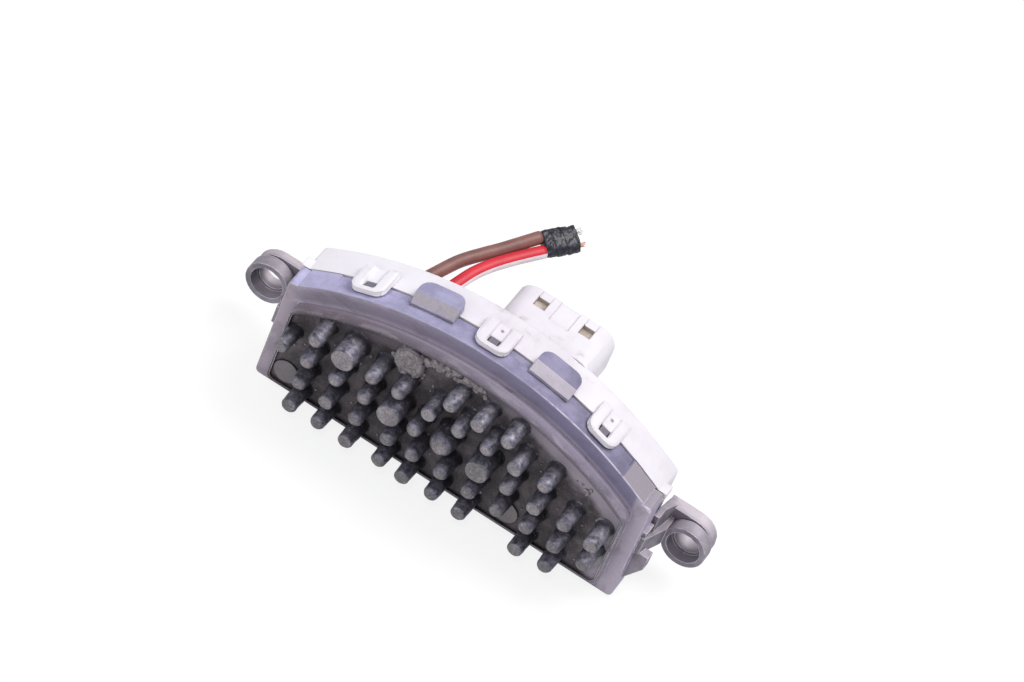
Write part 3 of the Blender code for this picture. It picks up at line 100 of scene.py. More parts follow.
# A clip in millimetres behind the flange's front: half width, front, back and corner
CLIP_PLACES = (-32.7 * MM, -0.7 * MM, 31.3 * MM)
CLIP_HALF, CLIP_FRONT, CLIP_BACK, CLIP_CORNER = 4.52, 1.5, 10.75, 2.6
SHEET_HALF, SHEET_FRONT, SHEET_LENGTH, SHEET_STEP = 4.7, 1.35, 9.6, 0.17
WINDOW_HALF, WINDOW_FRONT, WINDOW_BACK = 1.48, 2.82, 5.48
TROUGH_HALF, TROUGH_FRONT, TROUGH_BACK, TROUGH_CORNER = 1.62, 2.9, 12.0, 0.3
PIN_HOLE_Y, PIN_HOLE_RADIUS = 8.6, 0.45
BAR_HALF, BAR_FRONT, BAR_BACK, BAR_FOOT, BAR_TOP, BAR_SUNK = 1.65, 5.4, 5.8, 0.9, 2, 0.8

# The connector shroud and its two latch windows, in millimetres
SHROUD_X = 8
LATCH_OFFSET = 6.3
BED_WIDTH, BED_FRONT, BED_LENGTH, BED_HEIGHT, BED_SAG = 3.5, 23.25, 3.9, 44.42, 0.35

# Ways of the leads and the tape
LEAD_RADIUS = 1.65 * MM
LEAD_HEIGHT = 37.5 * MM
LEAD_START_Y = 10.35 * MM
COVER_BACK_Y = 13.05 * MM
BROWN_LEAD_X = -25.6 * MM
RED_LEAD_X = -19.6 * MM
BROWN_ROUTE = (
    (-25.4, 18.5, 37.8),
    (-23.9, 22.3, 38.6),
    (-21.3, 29.1, 39.2),
    (-18.1, 34.7, 39.6),
    (-15.6, 38.7, 39.9),
)
RED_ROUTE = (
    (-19.4, 18.9, 37.8),
    (-18.2, 23.6, 38.6),
    (-16.9, 28.5, 38.9),
    (-14.6, 33.7, 39.3),
    (-11.6, 38.9, 39.6),
)
# The points of the routes are measured from the flange's front
ROUTE_SHIFT = Vector((0, FRONT_Y, 0))
TAPE_START = Vector((-8.4, 47.4, 40.3)) * MM + ROUTE_SHIFT
TAPE_END = Vector((-3.2, 54.3, 40.6)) * MM + ROUTE_SHIFT
TAPE_TILT = math.radians(25)
TAPE_HALF = 3.65 * MM
TAPE_THICK = 2.05 * MM
LEAD_OFFSET = 1.8 * MM
# The faces round the red lead that its tracer stripe takes, of 32
LEAD_SIDES = 32
TRACER_FACES = {28, 29, 30, 31, 0, 1, 2}
# What covers the wires: its light and dark colour and its dirt
INSULATIONS = (
    ("brown_insulation_finish", (0.26, 0.115, 0.10), (0.20, 0.09, 0.08), (0.12, 0.08, 0.08)),
    ("red_insulation_finish", (0.72, 0.03, 0.052), (0.62, 0.025, 0.045), (0.36, 0.04, 0.05)),
    ("white_tracer", (0.90, 0.80, 0.84), (0.86, 0.72, 0.77), (0.6, 0.45, 0.5)),
    ("pink_filler", (0.72, 0.34, 0.42), (0.62, 0.26, 0.34), (0.4, 0.2, 0.24)),
)


# Camera, light and ground


def add_object(name, data):
    """An object of the scene that holds this data."""
    made = bpy.data.objects.new(name, data)
    bpy.context.scene.collection.objects.link(made)
    return made


def place_camera():
    """The camera stands in front, to the right and above, rolled as the photo is."""
    lens = bpy.data.cameras.new("camera")
    lens.sensor_width = SENSOR_WIDTH
    lens.lens = FOCAL_PIXELS * SENSOR_WIDTH / IMAGE_WIDTH
    lens.clip_end = 20
    camera = add_object("camera", lens)
    facing = Quaternion(CAMERA_TURN.normalized(), -CAMERA_TURN.length).to_matrix().to_4x4()
    camera.matrix_world = Matrix.Translation(CAMERA_PLACE) @ facing
    bpy.context.scene.camera = camera


def add_lamp(name, place, size, power, colour):
    lamp = bpy.data.lights.new(name, "AREA")
    lamp.shape = "DISK"
    lamp.size = size
    lamp.energy = power
    lamp.color = colour
    holder = add_object(name, lamp)
    place = Vector(place)
    aim = (Vector((0, 0, 0.02)) - place).to_track_quat("-Z", "Y")
    holder.matrix_world = Matrix.Translation(place) @ aim.to_matrix().to_4x4()


class Field:
    """An output socket of a node, on which arithmetic adds the nodes that do it."""

    def __init__(self, tree, socket):
        self.tree = tree
        self.socket = socket

    def combine(self, operation, *values):
        kinds = [getattr(getattr(value, "socket", None), "type", None) for value in values]
        if "RGBA" in kinds:
            return self.tree.blend(operation, 1, *values)
        kind = "ShaderNodeVectorMath" if "VECTOR" in kinds else "ShaderNodeMath"
        return self.tree.node(kind, {"operation": operation}, values)

    def __add__(self, other):
        return self.combine("ADD", self, other)

    __radd__ = __add__

    def __mul__(self, other):
        return self.combine("MULTIPLY", self, other)

    __rmul__ = __mul__

    def __sub__(self, other):
        return self.combine("SUBTRACT", self, other)

    def __rsub__(self, other):
        return self.combine("SUBTRACT", other, self)

    def __pow__(self, other):
        return self.combine("POWER", self, other)

    def size(self):
        """The value without its sign."""
        return self.combine("ABSOLUTE", self)

    def between(self, low, high):
        """0 before low, 1 past high, and smooth in between."""
        settings = {"interpolation_type": "SMOOTHSTEP"}
        sockets = {"Value": self, "From Min": low, "From Max": high}
        return self.tree.node("ShaderNodeMapRange", settings, sockets)

    def span(self, low, high):
        """The same for a length, with its limits in millimetres."""
        return self.between(low * MM, high * MM)

    def band(self, start, full, fading, end):
        """1 between two lengths and 0 outside them, smooth on both sides."""
        return self.span(start, full) * self.span(end, fading)


class Tree:
    """The nodes of a material or of the sky while they are laid out."""

    def __init__(self, owner):
        owner.use_nodes = True
        self.nodes = owner.node_tree.nodes
        self.links = owner.node_tree.links

    def node(self, kind, settings=None, sockets=(), output=0):
        """Adds a node: its settings first, then the values or links of its sockets."""
        made = self.nodes.new(kind)
        for name, value in (settings or {}).items():
            setattr(made, name, value)
        pairs = sockets.items() if isinstance(sockets, dict) else enumerate(sockets)
        for key, value in pairs:
            self.feed(made.inputs[key], value)
        return Field(self, made.outputs[output])

    def feed(self, socket, value):
        if isinstance(value, Field):
            self.links.new(value.socket, socket)
        elif socket.type == "RGBA":
            socket.default_value = (*value, 1)
        elif socket.type == "VECTOR" and isinstance(value, (int, float)):
            socket.default_value = (value, value, value)
        else:
            socket.default_value = value

    def blend(self, kind, factor, below, above):
        """Colours laid over each other: MIX by the factor, or another of Mix's ways."""
        below, above = (
            (value, value, value) if isinstance(value, (int, float)) else value
            for value in (below, above)
        )
        settings = {"data_type": "RGBA", "blend_type": kind, "clamp_factor": True}
        return self.node("ShaderNodeMix", settings, {0: factor, 6: below, 7: above}, 2)

    def rays(self, first, *others):
        """1 for rays of those kinds, such as Camera for what the camera sees."""
        found = self.node("ShaderNodeLightPath", output=f"Is {first} Ray")
        return found + self.rays(*others) if others else found

    def close(self, output, shader):
        """Leads a shader to the tree's output in place of the one it was made with."""
        surface = self.nodes[output].inputs["Surface"]
        self.nodes.remove(surface.links[0].from_node)
        self.feed(surface, shader)


class Paint(Tree):
    """A material while it is mixed. Its methods take sizes in millimetres."""

    def __init__(self, name):
        self.material = bpy.data.materials.new(name)
        super().__init__(self.material)
        self.shader = self.nodes["Principled BSDF"]
        self.place = self.node("ShaderNodeTexCoord", output="Object")
        self.facing = self.node("ShaderNodeNewGeometry", output="Normal")
        self.colour = None

    def mix(self, mask, below, above):
        return self.blend("MIX", mask, below, above)

    def lay(self, mask, coat):
        """Lays one more coat over the colour so far."""
        self.colour = self.mix(mask, self.colour, coat)

    def grain(self, size, detail, roughness, stretch=(1, 1, 1), shift=0.0):
        """Noise from 0 to 1 whose blots are about that size."""
        place = self.place * stretch if stretch != (1, 1, 1) else self.place
        if shift:
            place = place + shift
        sockets = {
            "Vector": place,
            "Scale": 1 / (size * MM),
            "Detail": detail,
            "Roughness": roughness,
        }
        return self.node("ShaderNodeTexNoise", None, sockets)

    def cells(self, size, feature="F1"):
        """Distance inside cells of about that size."""
        sockets = {"Vector": self.place, "Scale": 1 / (size * MM)}
        return self.node("ShaderNodeTexVoronoi", {"feature": feature}, sockets, "Distance")

    def axes(self, source):
        """The X, Y and Z of a place or a direction."""
        return [self.node("ShaderNodeSeparateXYZ", None, [source], name) for name in "XYZ"]

    def sheltered(self, distance):
        """1 deep in a corner or between pins, and 0 in the open."""
        sockets = {"Distance": distance * MM}
        return 1 - self.node("ShaderNodeAmbientOcclusion", {"samples": 8}, sockets, "AO")

    def soft_edges(self, radius):
        """How the surface would face if its edges were rounded."""
        return self.node("ShaderNodeBevel", {"samples": 6}, {"Radius": radius * MM})

    def edges(self, radius):
        """1 along outer and inner edges, from how a rounded edge would face."""
        pair = [self.soft_edges(radius), self.facing]
        settings = {"operation": "DOT_PRODUCT"}
        likeness = self.node("ShaderNodeVectorMath", settings, pair, "Value")
        return (1 - likeness).between(0.004, 0.09)

    def bump(self, height, strength, distance, normal=None):
        sockets = {"Strength": strength, "Distance": distance * MM, "Height": height}
        if normal is not None:
            sockets["Normal"] = normal
        return self.node("ShaderNodeBump", None, sockets)

    def finish(self, roughness, metallic, normal):
        values = {
            "Base Color": self.colour,
            "Roughness": roughness,
            "Metallic": metallic,
            "Normal": normal,
        }
        for name, value in values.items():
            self.feed(self.shader.inputs[name], value)
        return self.material


def paint_ground():
    """White ground that keeps a faint shadow of what stands on it."""
    material = bpy.data.materials.new("white_ground")
    tree = Tree(material)
    shaded = tree.node("ShaderNodeBsdfDiffuse", None, {"Color": (0.2, 0.2, 0.2)})
    glow = tree.node("ShaderNodeEmission", None, {"Color": (1, 1, 1), "Strength": 0.83})
    seen = tree.node("ShaderNodeAddShader", None, [shaded, glow])
    plain = tree.node("ShaderNodeBsdfDiffuse", None, {"Color": (0.75, 0.75, 0.76)})
    rays = tree.rays("Camera", "Glossy", "Transmission")
    tree.close("Material Output", tree.node("ShaderNodeMixShader", None, [rays, plain, seen]))
    return material


def lay_ground():
    mesh = bpy.data.meshes.new("ground")
    work = bmesh.new()
    bmesh.ops.create_grid(work, x_segments=1, y_segments=1, size=6)
    work.to_mesh(mesh)
    work.free()
    mesh.materials.append(paint_ground())
    ground = add_object("ground", mesh)
    ground.location = (0, 0, -0.05 * MM)


def light_world():
    world = bpy.data.worlds.new("sky")
    bpy.context.scene.world = world
    tree = Tree(world)
    glow = tree.node("ShaderNodeBackground", None, {"Color": (0.93, 0.95, 1.0), "Strength": 0.42})
    white = tree.node("ShaderNodeBackground")
    rays = tree.rays("Camera", "Transmission")
    tree.close("World Output", tree.node("ShaderNodeMixShader", None, [rays, glow, white]))
    bpy.context.scene.view_settings.view_transform = "Standard"


def set_stage():
    place_camera()
    lay_ground()
    light_world()
    add_lamp("key_lamp", (0.35, 0.35, 1.0), 0.7, 8.6, (1.0, 0.99, 0.97))
    add_lamp("front_lamp", (-0.45, -0.9, 0.45), 0.8, 3.0, (0.97, 0.98, 1.0))
    add_lamp("glint_lamp", (0.02, -0.75, 1.15), 0.16, 2.4, (1.0, 0.98, 0.97))


# Finishes


class Casting(Paint):
    """The die casting's finish: its fields, its zones and what lies on each."""

    def __init__(self):
        super().__init__("weathered_casting")
        self.x, self.depth, self.height = self.axes(self.place)
        self.behind = self.depth - FRONT_Y
        self.side = self.x.size()
        self.facing_right, facing_back, facing_up = self.axes(self.facing)
        self.facing_front = 0 - facing_back
        self.up = facing_up.between(0.3, 0.85)
        self.blots = self.grain(6, 5, 0.62)
        self.fine = self.grain(0.7, 4, 0.7)
        self.speckle = self.grain(0.22, 2, 0.6)
        self.streak = self.grain(3.5, 5, 0.68, (0.35, 1, 1), 0.2)
        self.across = self.x.span(-48, 30)
        rise = self.height - ARC_CENTRE_Z
        self.from_arch = ARC_RADIUS - (self.x * self.x + rise * rise) ** 0.5
        self.outside = self.side.between(HALF_WIDTH, HALF_WIDTH + 0.4 * MM)
        self.along_arch = self.side.span(46, 44)
        self.leaning = self.facing_front.between(0.35, 0.6)
        self.leaning *= self.facing_front.between(0.85, 0.7)
        self.plinth = self.behind.span(-0.05, -0.2)
        self.floor = self.depth.between(PIN_FLOOR_Y - 0.72 * MM, PIN_FLOOR_Y - 0.5 * MM)
        self.floor *= self.plinth * self.from_arch.span(5.1, 5.4) * self.side.span(46.4, 46.2)

    def plain_faces(self):
        """Dull grey, with a painted lilac reflection where it faces up, palest at the left, and
        paler painted light on the ear tops; more painted light on the right end's top and on sides
        that face right.
        """
        mottle, cloud = self.blots.between(0.34, 0.68), self.blots.between(0.32, 0.68)
        metal = self.mix(mottle, (0.185, 0.165, 0.195), (0.31, 0.285, 0.335))
        # Painted reflection: these lilac colours are laid only where the faces turn up
        pale = self.mix(cloud, (0.43, 0.41, 0.62), (0.60, 0.57, 0.83))
        dull = self.mix(cloud, (0.17, 0.155, 0.245), (0.27, 0.25, 0.37))
        upward_light = self.mix(self.across, pale, dull)
        # Painted light: the top's last facet at the right end is greyer and lighter than the lilac
        # before it
        end_facet_light = self.x.band(40.9, 41.1, 50.4, 50.6)
        upward_light = self.mix(end_facet_light * 0.9, upward_light, (0.35, 0.31, 0.355))
        ear_top_light = self.mix(mottle, (0.31, 0.275, 0.325), (0.46, 0.415, 0.475))
        upward_light = self.mix(self.outside, upward_light, ear_top_light)
        self.colour = self.mix(self.up, metal, upward_light)
        # Painted light on the sides that face right
        right_side_light = self.facing_right.between(0.6, 0.95) * (1 - self.outside)
        self.lay(right_side_light * 0.8, (0.45, 0.40, 0.55))

    def behind_clips(self):
        """Darker, mottled metal shows in the windows of the clips."""
        for clip_x in CLIP_PLACES:
            window = (self.x - clip_x).size().span(2.0, 1.8)
            window *= self.behind.band(2.4, 2.7, 5.9, 6.2)
            self.lay(window * (0.55 + 0.5 * self.fine), (0.17, 0.158, 0.178))

    def flange_face(self):
        """The flange's front and the leaning, worn fronts of its two lugs."""
        from_arch, along_arch = self.from_arch, self.along_arch
        front = self.facing_front.between(0.6, 0.95) * self.behind.span(0.7, 0.2)
        face = self.mix(self.across, (0.30, 0.262, 0.325), (0.235, 0.215, 0.335))
        crest = from_arch.span(2.0, 0.3) * self.x.span(-5, -35)
        face = self.mix(crest * 0.6, face, (0.48, 0.43, 0.55))
        foot = from_arch.band(3.5, 4.6, 4.9, 5.1)
        face = self.mix(foot * (0.45 + 0.8 * self.streak), face, (0.46, 0.41, 0.47))
        # Painted shade: the front is darker along the arch; painted light: paler towards both
        # ends, most at the right end
        dull = self.streak.between(0.55, 0.38) * along_arch
        face = self.mix(dull * 0.5, face, (0.18, 0.157, 0.19))
        face = self.mix(self.side.span(46, 49.6), face, (0.42, 0.365, 0.425))
        face = self.mix(self.x.span(45.5, 46.7), face, (0.45, 0.40, 0.48))
        dull = self.blots.between(0.55, 0.35) * (1 - along_arch)
        face = self.mix(dull * 0.5, face, (0.24, 0.21, 0.25))
        self.lay(front, face)
        worn = self.mix(self.fine.between(0.32, 0.68), (0.37, 0.332, 0.338), (0.46, 0.415, 0.43))
        worn = self.mix(self.x.span(-4, 4) * 0.8, worn, (0.66, 0.60, 0.66))
        self.lay(self.leaning * (0.5 + 0.6 * self.blots), worn)

    def plinth_wall(self):
        """Its wall pale with painted light, palest by the flange and darker towards its arris; its
        narrow rim brown with dust.
        """
        across, fine = self.across, self.fine
        # Painted light: the wall is palest by the flange and darker towards its arris
        near = self.behind.between(PLINTH_Y - FRONT_Y, -0.4 * MM)
        wall = self.mix(across, (0.16, 0.13, 0.155), (0.14, 0.122, 0.165))
        wall = self.mix(near, wall, self.mix(across, (0.33, 0.28, 0.325), (0.44, 0.395, 0.515)))
        wall = self.mix(self.streak.between(0.45, 0.62) * 0.5, wall, (0.42, 0.375, 0.43))
        wall = self.mix(self.blots.between(0.5, 0.34) * 0.45, wall, (0.13, 0.11, 0.13))
        crease = self.behind.band(-1.7, -1.2, -1.0, -0.5)
        crease *= self.along_arch * self.x.span(-44, -20) * (0.35 + 0.9 * self.streak)
        wall = self.mix(crease * 0.75, wall, (0.60, 0.545, 0.61))
        wall = self.mix(fine.between(0.58, 0.72) * 0.35, wall, (0.12, 0.10, 0.12))
        self.lay(self.plinth, wall)
        rim = self.facing_front.between(0.5, 0.85) * self.plinth
        dust = self.mix(across, (0.065, 0.052, 0.062), (0.16, 0.142, 0.175))
        dust = self.mix(fine.between(0.4, 0.7) * 0.3, dust, (0.30, 0.265, 0.29))
        self.lay(rim, dust)

    def recess_floor(self):
        """Paler under the lip and by the right end, with painted shade among the pins, and its
        discs.
        """
        x, from_arch, blots = self.x, self.from_arch, self.blots
        lowest = self.mix(blots.between(0.38, 0.7), (0.045, 0.037, 0.042), (0.13, 0.112, 0.123))
        light = self.mix(x.span(0, 28), (0.125, 0.104, 0.12), (0.34, 0.30, 0.35))
        lip = from_arch.span(11.0, 6.6) + 0.35 * x.span(14, 26)
        lip *= from_arch.span(15, 10) * (1 - 0.7 * x.span(-24, -38))
        ends = x.span(40, 45) + x.span(-44, -45.5)
        # Painted shade: the floor is darkest among the pins and paler in the open
        open_floor = (lip + ends * 0.8 + 0.8 * blots - 0.4).between(0.15, 0.95)
        self.lay(self.floor, self.mix(open_floor, lowest, light))
        for disc_x, disc_z, radius in DISCS:
            off_x, off_z = x - disc_x * MM, self.height - disc_z * MM
            disc = ((off_x * off_x + off_z * off_z) ** 0.5).span(radius, radius - 0.3)
            self.lay(disc * self.floor * (0.45 + 0.7 * blots), (0.215, 0.195, 0.21))

    def specks_and_shade(self):
        """Painted highlight on the ear plates, specks, and painted shade among the pins and in
        every corner.
        """
        # Painted highlight on the tops of the ear plates
        ear_plate_highlight = self.side.span(51, 52.5) * self.depth.span(13.0, 14.6)
        self.lay(ear_plate_highlight * self.up * 0.7, (0.68, 0.615, 0.665))
        self.lay(self.speckle.between(0.6, 0.74) * 0.45, (0.11, 0.10, 0.12))
        self.lay(self.speckle.between(0.42, 0.3) * 0.3, (0.48, 0.45, 0.52))
        # Painted shade among the pins, lighter towards the open side
        sheltered_shade = (self.sheltered(5) + 0.45 * self.fine).between(0.5, 0.95)
        open_side = self.height.span(27, 38) + self.x.span(24, 42)
        shade_among_pins = sheltered_shade * self.floor * (1 - 0.45 * open_side.between(0, 1))
        self.lay(shade_among_pins, (0.022, 0.018, 0.022))
        # Painted shade in every corner
        corner = self.sheltered(1.2).between(0.4, 0.9) * (1 - self.plinth)
        self.lay(corner * (0.2 + 0.4 * self.fine), (0.05, 0.043, 0.05))


def paint_casting():
    """Die-cast metal, laid on zone by zone, with bare metal along its worn edges."""
    paint = Casting()
    paint.plain_faces()
    paint.behind_clips()
    paint.flange_face()
    paint.plinth_wall()
    paint.recess_floor()
    paint.specks_and_shade()
    patchy = paint.grain(2.6, 3, 0.7).between(0.3, 0.55)
    arris = paint.from_arch.span(0.42, 0.18)
    arris *= paint.behind.span(0.42, 0.18)
    arris *= (0.25 + 0.75 * paint.across.between(0.85, 1.0)) * (1 - paint.leaning)
    wear = paint.edges(0.34) * patchy * paint.side.span(44.5, 46)
    shown = (1 - paint.floor) * paint.height.span(2, 12)
    paint.lay(arris * (0.4 + 0.6 * patchy), (0.62, 0.58, 0.70))
    paint.lay(wear * shown * 0.9, (0.80, 0.75, 0.83))
    rough = 0.5 + 0.22 * paint.fine - 0.16 * wear
    height = paint.fine * 0.6 + paint.speckle * 0.4
    relief = paint.bump(height, 0.4, 0.12, paint.soft_edges(0.2))
    return paint.finish(rough, 0.4, relief)


def paint_pins():
    """The pins: painted shade at the foot, dark and mottled with a painted blue-grey highlight on
    their upper sides, rubbed at the tips.
    """
    paint = Paint("pins_painted_light")
    x, depth, height = paint.axes(paint.place)
    reach = depth.between(PIN_FLOOR_Y - 0.3 * MM, PIN_FLOOR_Y - 7.0 * MM)
    _, facing_back, facing_up = paint.axes(paint.facing)
    tip = (0 - facing_back).between(0.72, 0.97)
    up = facing_up.between(-0.1, 0.8)
    each = paint.grain(9, 1, 0.5, shift=0.31)
    blots = paint.grain(1.7, 5, 0.68)
    fine = paint.grain(0.42, 4, 0.7)
    body = paint.mix(blots.between(0.34, 0.7), (0.06, 0.057, 0.070), (0.135, 0.13, 0.165))
    open_side = (height.span(27, 38) + x.span(24, 42)).between(0, 1)
    # Painted highlight on the upper sides of the pins, stronger on the open side
    lit = up * blots.between(0.3, 0.72) * (0.3 + 0.7 * reach)
    paint.colour = paint.mix(lit * (0.75 + 0.25 * open_side), body, (0.33, 0.315, 0.40))
    grit = fine.between(0.35, 0.68)
    bare = paint.mix(grit, (0.10, 0.092, 0.10), (0.24, 0.225, 0.235))
    pale = paint.mix(grit, (0.20, 0.178, 0.19), (0.44, 0.40, 0.43))
    upper = (each + height * 14).between(0.62, 1.0)
    bare = paint.mix(upper, bare, pale)
    paint.lay(tip * (0.6 + 0.5 * blots), bare)
    # Painted shade at the feet of the pins, lighter on the open side
    shade_among_pins = (1 - reach) * (0.5 + 0.8 * fine) * (1 - 0.6 * open_side)
    paint.lay(shade_among_pins, (0.022, 0.019, 0.023))
    crust = paint.cells(0.9).between(0.5, 0.2) * blots.between(0.5, 0.64)
    paint.lay(crust * 0.6, (0.42, 0.39, 0.40))
    rough = 0.27 + 0.4 * fine
    relief = paint.bump(fine * 0.7 + blots * 0.6, 0.5, 0.16)
    return paint.finish(rough, 0.35, relief)


def paint_crumbs():
    """Crumbs of corrosion: pale grey with brown shadows."""
    paint = Paint("corrosion_crumbs")
    fine = paint.grain(0.8, 5, 0.7)
    blots = paint.grain(2.4, 4, 0.65)
    paint.colour = paint.mix(fine.between(0.32, 0.66), (0.16, 0.139, 0.15), (0.36, 0.33, 0.345))
    paint.lay(blots.between(0.5, 0.7) * 0.6, (0.14, 0.113, 0.115))
    relief = paint.bump(fine, 0.4, 0.2)
    return paint.finish(0.7 + 0.2 * fine, 0.1, relief)


def paint_cover():
    """Satin white moulding, faintly lilac, with painted shade on faces that turn to the front and
    in its corners.
    """
    paint = Paint("white_moulding")
    x, depth, height = paint.axes(paint.place)
    facing_front = 0 - paint.axes(paint.facing)[1]
    cloud = paint.grain(14, 4, 0.6)
    fine = paint.grain(0.8, 4, 0.65)
    smear = paint.grain(6, 5, 0.7, (1, 0.4, 1), 0.13)
    paint.colour = paint.mix(cloud.between(0.35, 0.68), (0.82, 0.785, 0.84), (0.745, 0.70, 0.765))
    paint.lay(x.span(10, -45) * 0.7, (0.91, 0.88, 0.94))
    # Painted shade on faces that turn to the front
    paint.lay(facing_front.between(0.3, 0.9) * 0.7, (0.70, 0.645, 0.66))
    paint.lay(smear.between(0.56, 0.74) * 0.35, (0.62, 0.56, 0.57))
    # Painted shade in the corners
    corner = paint.sheltered(2.0).between(0.3, 0.85)
    paint.lay(corner * (0.3 + 0.5 * fine), (0.46, 0.41, 0.40))
    # Road dirt where the shroud springs from the lid, and painted shade inside the shroud and on
    # the walls of its latch windows
    root = depth.band(8.5, 11.5, 13.5, 16.5)
    near = (x - 9 * MM).size().span(19, 8) * height.span(40, 43)
    stain = paint.grain(3.2, 5, 0.72, shift=0.4).between(0.5, 0.72)
    paint.lay(root * near * stain * 0.7, (0.40, 0.34, 0.345))
    shroud_shade = (x - SHROUD_X * MM).size().span(12.2, 11.6)
    shroud_shade *= height.span(44.55, 44.35) * depth.span(13.2, 13.6)
    paint.lay(shroud_shade * 0.7, (0.60, 0.54, 0.50))
    # Painted shade on the walls of the latch windows
    latch = ((x - SHROUD_X * MM).size() - LATCH_OFFSET * MM).size()
    latch = latch.span(1.75, 1.62)
    latch *= depth.band(19.9, 20.1, 23.8, 24.0) * height.band(42, 43, 45.5, 45.95)
    paint.lay(latch * 0.8, (0.36, 0.305, 0.265))
    specks = paint.cells(2.4).between(0.09, 0.04) * fine.between(0.5, 0.7)
    paint.lay(specks * 0.6, (0.30, 0.27, 0.26))
    rough = 0.44 + 0.16 * fine
    relief = paint.bump(fine * 0.5 + smear * 0.5, 0.12, 0.1, paint.soft_edges(0.3))
    return paint.finish(rough, 0.0, relief)


def paint_insulation(name, light, dark, dirt):
    """Soft PVC over a lead, a little dirty along its length."""
    paint = Paint(name)
    fine = paint.grain(0.6, 4, 0.65)
    run = paint.grain(5, 4, 0.6)
    paint.colour = paint.mix(run.between(0.35, 0.68), light, dark)
    paint.lay(fine.between(0.58, 0.75) * 0.35, dirt)
    relief = paint.bump(fine, 0.15, 0.06)
    return paint.finish(0.38 + 0.18 * fine, 0.0, relief)


def paint_tape():
    """Glossy black tape, creased, with a painted bluish sheen along its creases and a little dust.
    """
    paint = Paint("creased_tape")
    fine = paint.grain(0.5, 4, 0.65)
    crease = paint.grain(2.0, 3, 0.55, (1, 1, 2.2))
    # Painted sheen: the creases are a little lighter and bluer
    paint.colour = paint.mix(crease.between(0.4, 0.7), (0.012, 0.012, 0.020), (0.04, 0.038, 0.062))
    paint.lay(fine.between(0.66, 0.8) * 0.3, (0.14, 0.13, 0.16))
    rough = 0.24 + 0.3 * fine
    relief = paint.bump(crease, 0.35, 0.3)
    return paint.finish(rough, 0.0, relief)


def paint_metal(name, light, dark, roughness):
    """A plain metal with fine draw marks and a little tarnish."""
    paint = Paint(name)
    marks = paint.grain(0.6, 4, 0.7, (1, 0.2, 1))
    tarnish = paint.grain(3, 4, 0.6)
    paint.colour = paint.mix(tarnish.between(0.35, 0.7), light, dark)
    rough = roughness + 0.25 * marks
    relief = paint.bump(marks, 0.2, 0.05, paint.soft_edges(0.12))
    return paint.finish(rough, 0.9, relief)


def paint_moulding(name, light, dark, roughness):
    """A small moulded or pressed piece with a fine grain."""
    paint = Paint(name)
    fine = paint.grain(0.4, 3, 0.6)
    cloud = paint.grain(4, 3, 0.6)
    paint.colour = paint.mix(cloud.between(0.35, 0.7), light, dark)
    relief = paint.bump(fine, 0.2, 0.05, paint.soft_edges(0.15))
    return paint.finish(roughness + 0.15 * fine, 0.0, relief)


def paint_board():
    """Lacquered laminate with the faint weave and the tracks under its lacquer."""
    paint = Paint("lacquered_board")
    weave = paint.grain(0.35, 2, 0.5, (1, 1, 3))
    cell = paint.cells(6, "DISTANCE_TO_EDGE").between(0.05, 0.12)
    paint.colour = paint.mix(cell, (0.05, 0.24, 0.10), (0.02, 0.13, 0.05))
    relief = paint.bump(weave * 0.5 + cell * 0.5, 0.2, 0.05)
    return paint.finish(0.3 + 0.15 * weave, 0.0, relief)


# Meshes


def add_piece(name, work, materials, replaced=(), turn_out=False):
    """One dressed piece: riding on the part, standing for the named CAD nodes."""
    if turn_out:
        bmesh.ops.recalc_face_normals(work, faces=work.faces)
    mesh = bpy.data.meshes.new(name)
    work.normal_update()
    work.to_mesh(mesh)
    work.free()
    for material in materials:
        mesh.materials.append(material)
    piece = add_object(name, mesh)
    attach(piece, "root")
    if replaced:
        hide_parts(*replaced)
    return piece


def bridge(work, rings, closed=False, material=0):
    """Faces between rings of vertices, all with as many."""
    count = len(rings[0])
    loops = [
        (near[i], near[(i + 1) % count], far[(i + 1) % count], far[i])
        for near, far in zip(rings, rings[1:])
        for i in range(count)
    ]
    if closed:
        loops += [rings[0][::-1], rings[-1]]
    for loop in loops:
        face = work.faces.new(loop)
        face.smooth = True
        face.material_index = material


def welded(node):
    """A copy of a CAD node's mesh with its corners joined, smooth but at its edges."""
    work = bmesh.new()
    work.from_mesh(NODES[node].data)
    bmesh.ops.remove_doubles(work, verts=work.verts, dist=1e-6)
    for face in work.faces:
        face.smooth = True
        face.material_index = 0
    for edge in work.edges:
        edge.smooth = len(edge.link_faces) == 2 and edge.calc_face_angle(0) < math.radians(32)
    return work


def lip_height(x):
    """Height of the recess's arched lip."""
    return ARC_CENTRE_Z + math.sqrt((ARC_RADIUS - RECESS_SHRINK) ** 2 - x * x)


def pin_radius(kind):
    return {"D": THICK_RADIUS, "F": THICK_RADIUS, "s": SMALL_RADIUS}.get(kind, PIN_RADIUS)


def pin_places():
    """Kind, place and column of every pin, as the casting has them."""
    for row, kinds in enumerate(PIN_ROWS):
        for column, kind in enumerate(kinds):
            if kind != ".":
                shift = PIN_SHIFTS.get((row, column), 0)
                x = PIN_FIRST_COLUMN + column * PIN_PITCH + shift
                yield kind, x, PIN_FIRST_ROW + row * PIN_ROW_PITCH, (row, column)
    for step, kind in zip((-1, 0, 1), "dfd"):
        yield kind, UPPER_PINS_X + step * PIN_PITCH, PIN_LAST_ROW, (4, step)


